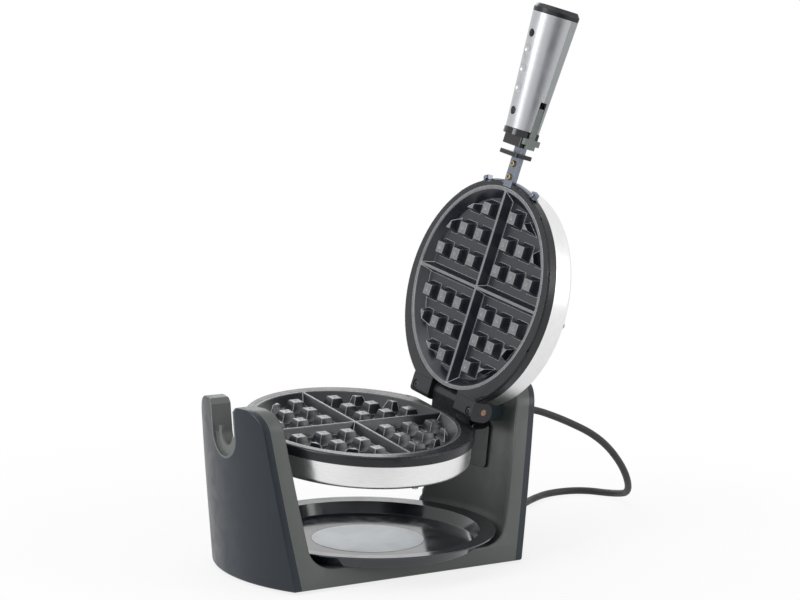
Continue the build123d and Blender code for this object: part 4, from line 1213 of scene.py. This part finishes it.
# Plates and housings
@dataclass
class GridPlate:
    """A cast plate with rows of pyramids and two crossed ridges."""

    side: str
    place: Matrix
    look: Look
    offsets: tuple[float, ...] = (20.5, 45.5, 70.5)
    post_base: float = 16.0
    post_top: float = 10.4
    reach: float = 86.0
    cut: float = 81.0
    depth: float = 9.5
    crest: float = 0.4
    edge: float = 92.0
    lip: float = 95.0
    floor_radius: float = 84.5
    round_in: float = 2.0
    lip_depth: float = 3.0
    dimple_radius: float = 1.3
    dimple_bed: float = 0.7
    dimple_depth: float = 0.7
    dimple_sides: int = 16
    steps: int = 160
    back: float = 12.5
    parting: float = 0.25
    ridge_base: float = 4.0
    ridge_top: float = 1.2

    def _dish(self) -> Mesh:
        """Make the round dish with its slanted wall and lip."""
        slope = math.degrees(math.atan2(self.depth - self.parting, self.edge - self.floor_radius))
        start = self.floor_radius - self.round_in * math.tan(math.radians(slope / 2))
        inner = arc((start, self.depth - self.round_in), self.round_in, 90, 90 - slope, 6)
        profile = [(0.0, self.depth), (40.0, self.depth), *inner]
        profile += [
            (self.edge - 0.45, self.parting + 0.55),
            (self.edge - 0.15, self.parting + 0.22),
            (self.edge + 0.35, self.parting),
            (self.lip - 0.4, self.parting),
            (self.lip - 0.1, self.parting + 0.1),
            (self.lip, self.parting + 0.4),
            (self.lip, self.parting + self.lip_depth),
            (self.edge + 0.6, self.parting + self.lip_depth),
            (self.floor_radius + 3, self.back),
            (0.0, self.back),
        ]
        return spun(profile, self.steps, self.place)

    def _post(self) -> Mesh:
        """Make one pyramid: a rounded square frustum with a small dimple in its top."""
        height = self.depth - self.crest
        base, top = self.post_base / 2, self.post_top / 2
        shaped = bmesh.new()

        def square(half: float, level: float, corner: float) -> list[bmesh.types.BMVert]:
            """Add a rounded square of points at a height above the floor."""
            points = []
            for quarter in range(4):
                turn = Matrix.Rotation(QUARTER_TURN * quarter, 2)
                for x, y in arc((half - corner, half - corner), corner, 0, 90, 4):
                    u, v = turn @ Vector((x, y))
                    points.append(shaped.verts.new((u * MM, v * MM, -level * MM)))
            return points

        def half_at(level: float) -> float:
            """Give the pyramid's half width at a height above the floor."""
            return base + (top - base) * level / height

        rings = [
            square(base + 0.55, -0.1, 1.5),
            square(half_at(0.12) + 0.3, 0.12, 1.3),
            square(half_at(0.6) + 0.02, 0.6, 1.05),
            square(half_at(height * 0.5), height * 0.5, 0.85),
            square(half_at(height - 0.55), height - 0.55, 0.65),
            square(half_at(height) - 0.06, height - 0.26, 0.6),
            square(half_at(height) - 0.24, height - 0.07, 0.55),
            square(half_at(height) - 0.55, height, 0.5),
        ]
        shaped.faces.new(rings[0])
        for low, high in zip(rings, rings[1:]):
            wall(shaped, low, high)
        rim = circle(shaped, self.dimple_radius, -height, self.dimple_sides)
        wall(shaped, rings[-1], rim[-2:] + rim[:-2])
        bed = circle(shaped, self.dimple_bed, self.dimple_depth - height, self.dimple_sides)
        wall(shaped, rim, bed)
        shaped.faces.new(bed)
        return finished(shaped, "post")

    def _posts(self) -> list[Mesh]:
        """Set the pyramids out in four quarters, those by the wall cut along it."""
        steps = [sign * offset for offset in self.offsets for sign in (-1, 1)]
        spots = [(x, y) for x in steps for y in steps if math.hypot(x, y) < self.reach]
        whole = [(x, y, self.depth) for x, y in spots if math.hypot(x, y) < self.cut]
        mesh = copies(f"{self.side}_posts", self._post(), whole, self.look)
        meshes = [mesh] + [self._cut_post(x, y) for x, y in spots if math.hypot(x, y) >= self.cut]
        for made in meshes:
            made.transform(self.place)
        return meshes

    def _cut_post(self, x: float, y: float) -> Mesh:
        """Make the inner part of a pyramid that the dish's wall cuts off."""
        outward = Vector((x, y, 0)).normalized()
        shaped = bmesh.new()
        shaped.from_mesh(self._post())
        bmesh.ops.translate(shaped, verts=shaped.verts, vec=Vector((x, y, self.depth)) * MM)
        cut = bmesh.ops.bisect_plane(
            shaped, geom=[*shaped.verts, *shaped.edges, *shaped.faces], dist=1e-7,
            plane_co=outward * self.cut * MM, plane_no=outward, clear_outer=True,
        )
        rim = [part for part in cut["geom_cut"] if isinstance(part, bmesh.types.BMEdge)]
        bmesh.ops.contextual_create(shaped, geom=rim)
        return finished(shaped, "cut_post")

    def _ridge(self, turn: float) -> Mesh:
        """Make one ridge through the middle, with a rounded crest."""
        reach = self.edge - 0.3
        half = [
            (self.ridge_base + 0.7, self.depth + 0.1),
            (self.ridge_base + 0.25, self.depth - 0.25),
            (self.ridge_base - 0.15, self.depth - 0.9),
            (self.ridge_top + 0.25, self.crest + 0.8),
            (self.ridge_top + 0.02, self.crest + 0.28),
            (self.ridge_top - 0.3, self.crest + 0.05),
            (self.ridge_top - 0.7, self.crest),
        ]
        outline = half + [(-x, z) for x, z in reversed(half)]
        shaped = bmesh.new()
        first, second = (
            [shaped.verts.new((side * reach * MM, x * MM, z * MM)) for x, z in outline] for side in (-1, 1)
        )
        wall(shaped, first, second)
        shaped.faces.new(first)
        shaped.faces.new(second)
        return finished(shaped, "ridge", self.place @ Matrix.Rotation(turn, 4, "Z"))

    def build(self) -> Object:
        """Make the plate."""
        parts = [self._dish(), *self._posts(), self._ridge(0), self._ridge(QUARTER_TURN)]
        node = f"{self.side}_grid_plate"
        piece = joined(f"{node}_piece", parts, self.look)
        smooth_by_angle(piece.data, PLATE_SMOOTH)
        return attach(piece, node)


@dataclass
class Halves:
    """The two plate housings with their rims, steel shells and inner pieces."""

    shell_screws: tuple[Pair, ...] = ((4.5, 97.2), (4.5, -97.2), (-93.5, 0))
    shell_bottom: float = 31.0

    def _half(self, side: str, place: Matrix, steel: Look, coating: Look) -> None:
        """Dress one half."""
        GridPlate(side, place, coating).build()
        eased(f"{side}_rim", Look.RIM, 0.3)
        eased(f"{side}_shell", steel)
        eased(f"{side}_heater", Look.HEATER)
        eased(f"{side}_thermostat", Look.BARE_STEEL, 0.2)
        spots = tuple((x, y, self.shell_bottom) for x, y in self.shell_screws)
        ScrewGroup(
            f"{side}_screws", ScrewKind(3.0, 1.5, 1.6), Look.BARE_STEEL, place, spots,
            shank=1.2, shank_length=14.0,
        ).build()

    def build(self) -> None:
        """Dress both halves and the lid's lamps."""
        self._half("lower", PLACES.lower, Look.STEEL_LOWER, Look.NONSTICK_LOWER)
        self._half("upper", PLACES.lid, Look.STEEL_LID, Look.NONSTICK_LID)
        eased("indicator_lenses", Look.LENS)


@dataclass
class HingeAndPivot:
    """The hinge block, its pin and screws, and the pivot's arm, shaft and covers."""

    ear_screws: tuple[Triple, ...] = ((106.0, 43.7, 2.25), (106.0, -43.7, 2.25))

    def build(self) -> None:
        """Dress the hinge and the pivot."""
        eased("hinge_block", Look.RIM, 0.4)
        eased("hinge_pin", Look.COPPER, 0.3)
        ScrewGroup(
            "ear_screws", ScrewKind(3.4, 1.6, 1.9), Look.DARK_STEEL, PLACES.lid, self.ear_screws,
            facing=-1.0, shank=1.3, shank_length=6.0,
        ).build()
        eased("pivot_arm", Look.BARE_STEEL, 0.3)
        eased("pivot_shaft", Look.BARE_STEEL, 0.3)
        eased("shaft_ring", Look.BARE_STEEL, 0.2)
        eased("pivot_hub", Look.RIM, 0.3)
        eased("pivot_cover", Look.PIVOT, 0.2)


@dataclass
class Handle:
    """The neck with its clips, and the two-shell handle with its latch."""

    neck_screws: tuple[Triple, ...] = ((-105.0, 0.0, 0.25), (-117.4, 0.0, 0.25))
    wells: tuple[Triple, ...] = ((-164.0, 0.0, -9.0), (-235.0, 0.0, -9.0))
    bolt_reach: float = 107.5
    bolt_shift: float = 4.5
    bolt_height: float = 3.0
    bolt_angles: Pair = (160.0, 200.0)

    def _clamp_bolts(self) -> tuple[Triple, ...]:
        """Find the bolts of the rim clips."""
        spots = arc((self.bolt_shift, 0), self.bolt_reach, *self.bolt_angles, 2)
        return tuple((x, y, self.bolt_height) for x, y in spots)

    def build(self) -> None:
        """Dress the handle."""
        eased("neck_bracket", Look.ZINC, 0.25)
        ScrewGroup(
            "neck_screws", ScrewKind(3.0, 2.0, 1.5), Look.BRASS, PLACES.lid, self.neck_screws,
            facing=-1.0, shank=1.6, shank_length=5.5,
        ).build()
        eased("rim_clamp", Look.ZINC, 0.2)
        ScrewGroup(
            "clamp_bolts", ScrewKind(2.6, 2.0, sides=6), Look.ZINC, PLACES.lid, self._clamp_bolts(),
            facing=-1.0, shank=1.4, shank_length=6.5,
        ).build()
        eased("neck_flange", Look.GLOSS, 0.3)
        eased("handle_collar", Look.GLOSS, 0.3)
        eased("handle_front", Look.SILVER, 0.2)
        eased("handle_back", Look.SILVER_BACK, 0.2)
        eased("handle_end_cap", Look.RIM, 0.4)
        ScrewGroup(
            "handle_screws", ScrewKind(3.2, 2.2, 1.8), Look.BARE_STEEL, PLACES.lid, self.wells,
            facing=-1.0, shank=1.25, shank_length=12.5,
        ).build()
        eased("latch_slider", Look.LATCH, 0.3)


@dataclass
class DripTray:
    """The shallow round tray with the bright disc in its floor."""

    def build(self) -> None:
        """Dress the tray."""
        eased("drip_tray", Look.TRAY, 0.25, limit=20)
        eased("tray_disc", Look.DISC)


def main() -> None:
    """Build the studio and every sub-assembly in order."""
    logging.basicConfig(level=logging.INFO)
    for maker in (Studio(), PowerCord(), Stand(), Halves(), HingeAndPivot(), Handle(), DripTray()):
        maker.build()
        LOG.info("built %s", type(maker).__name__)


if __name__ == "__main__":
    main()
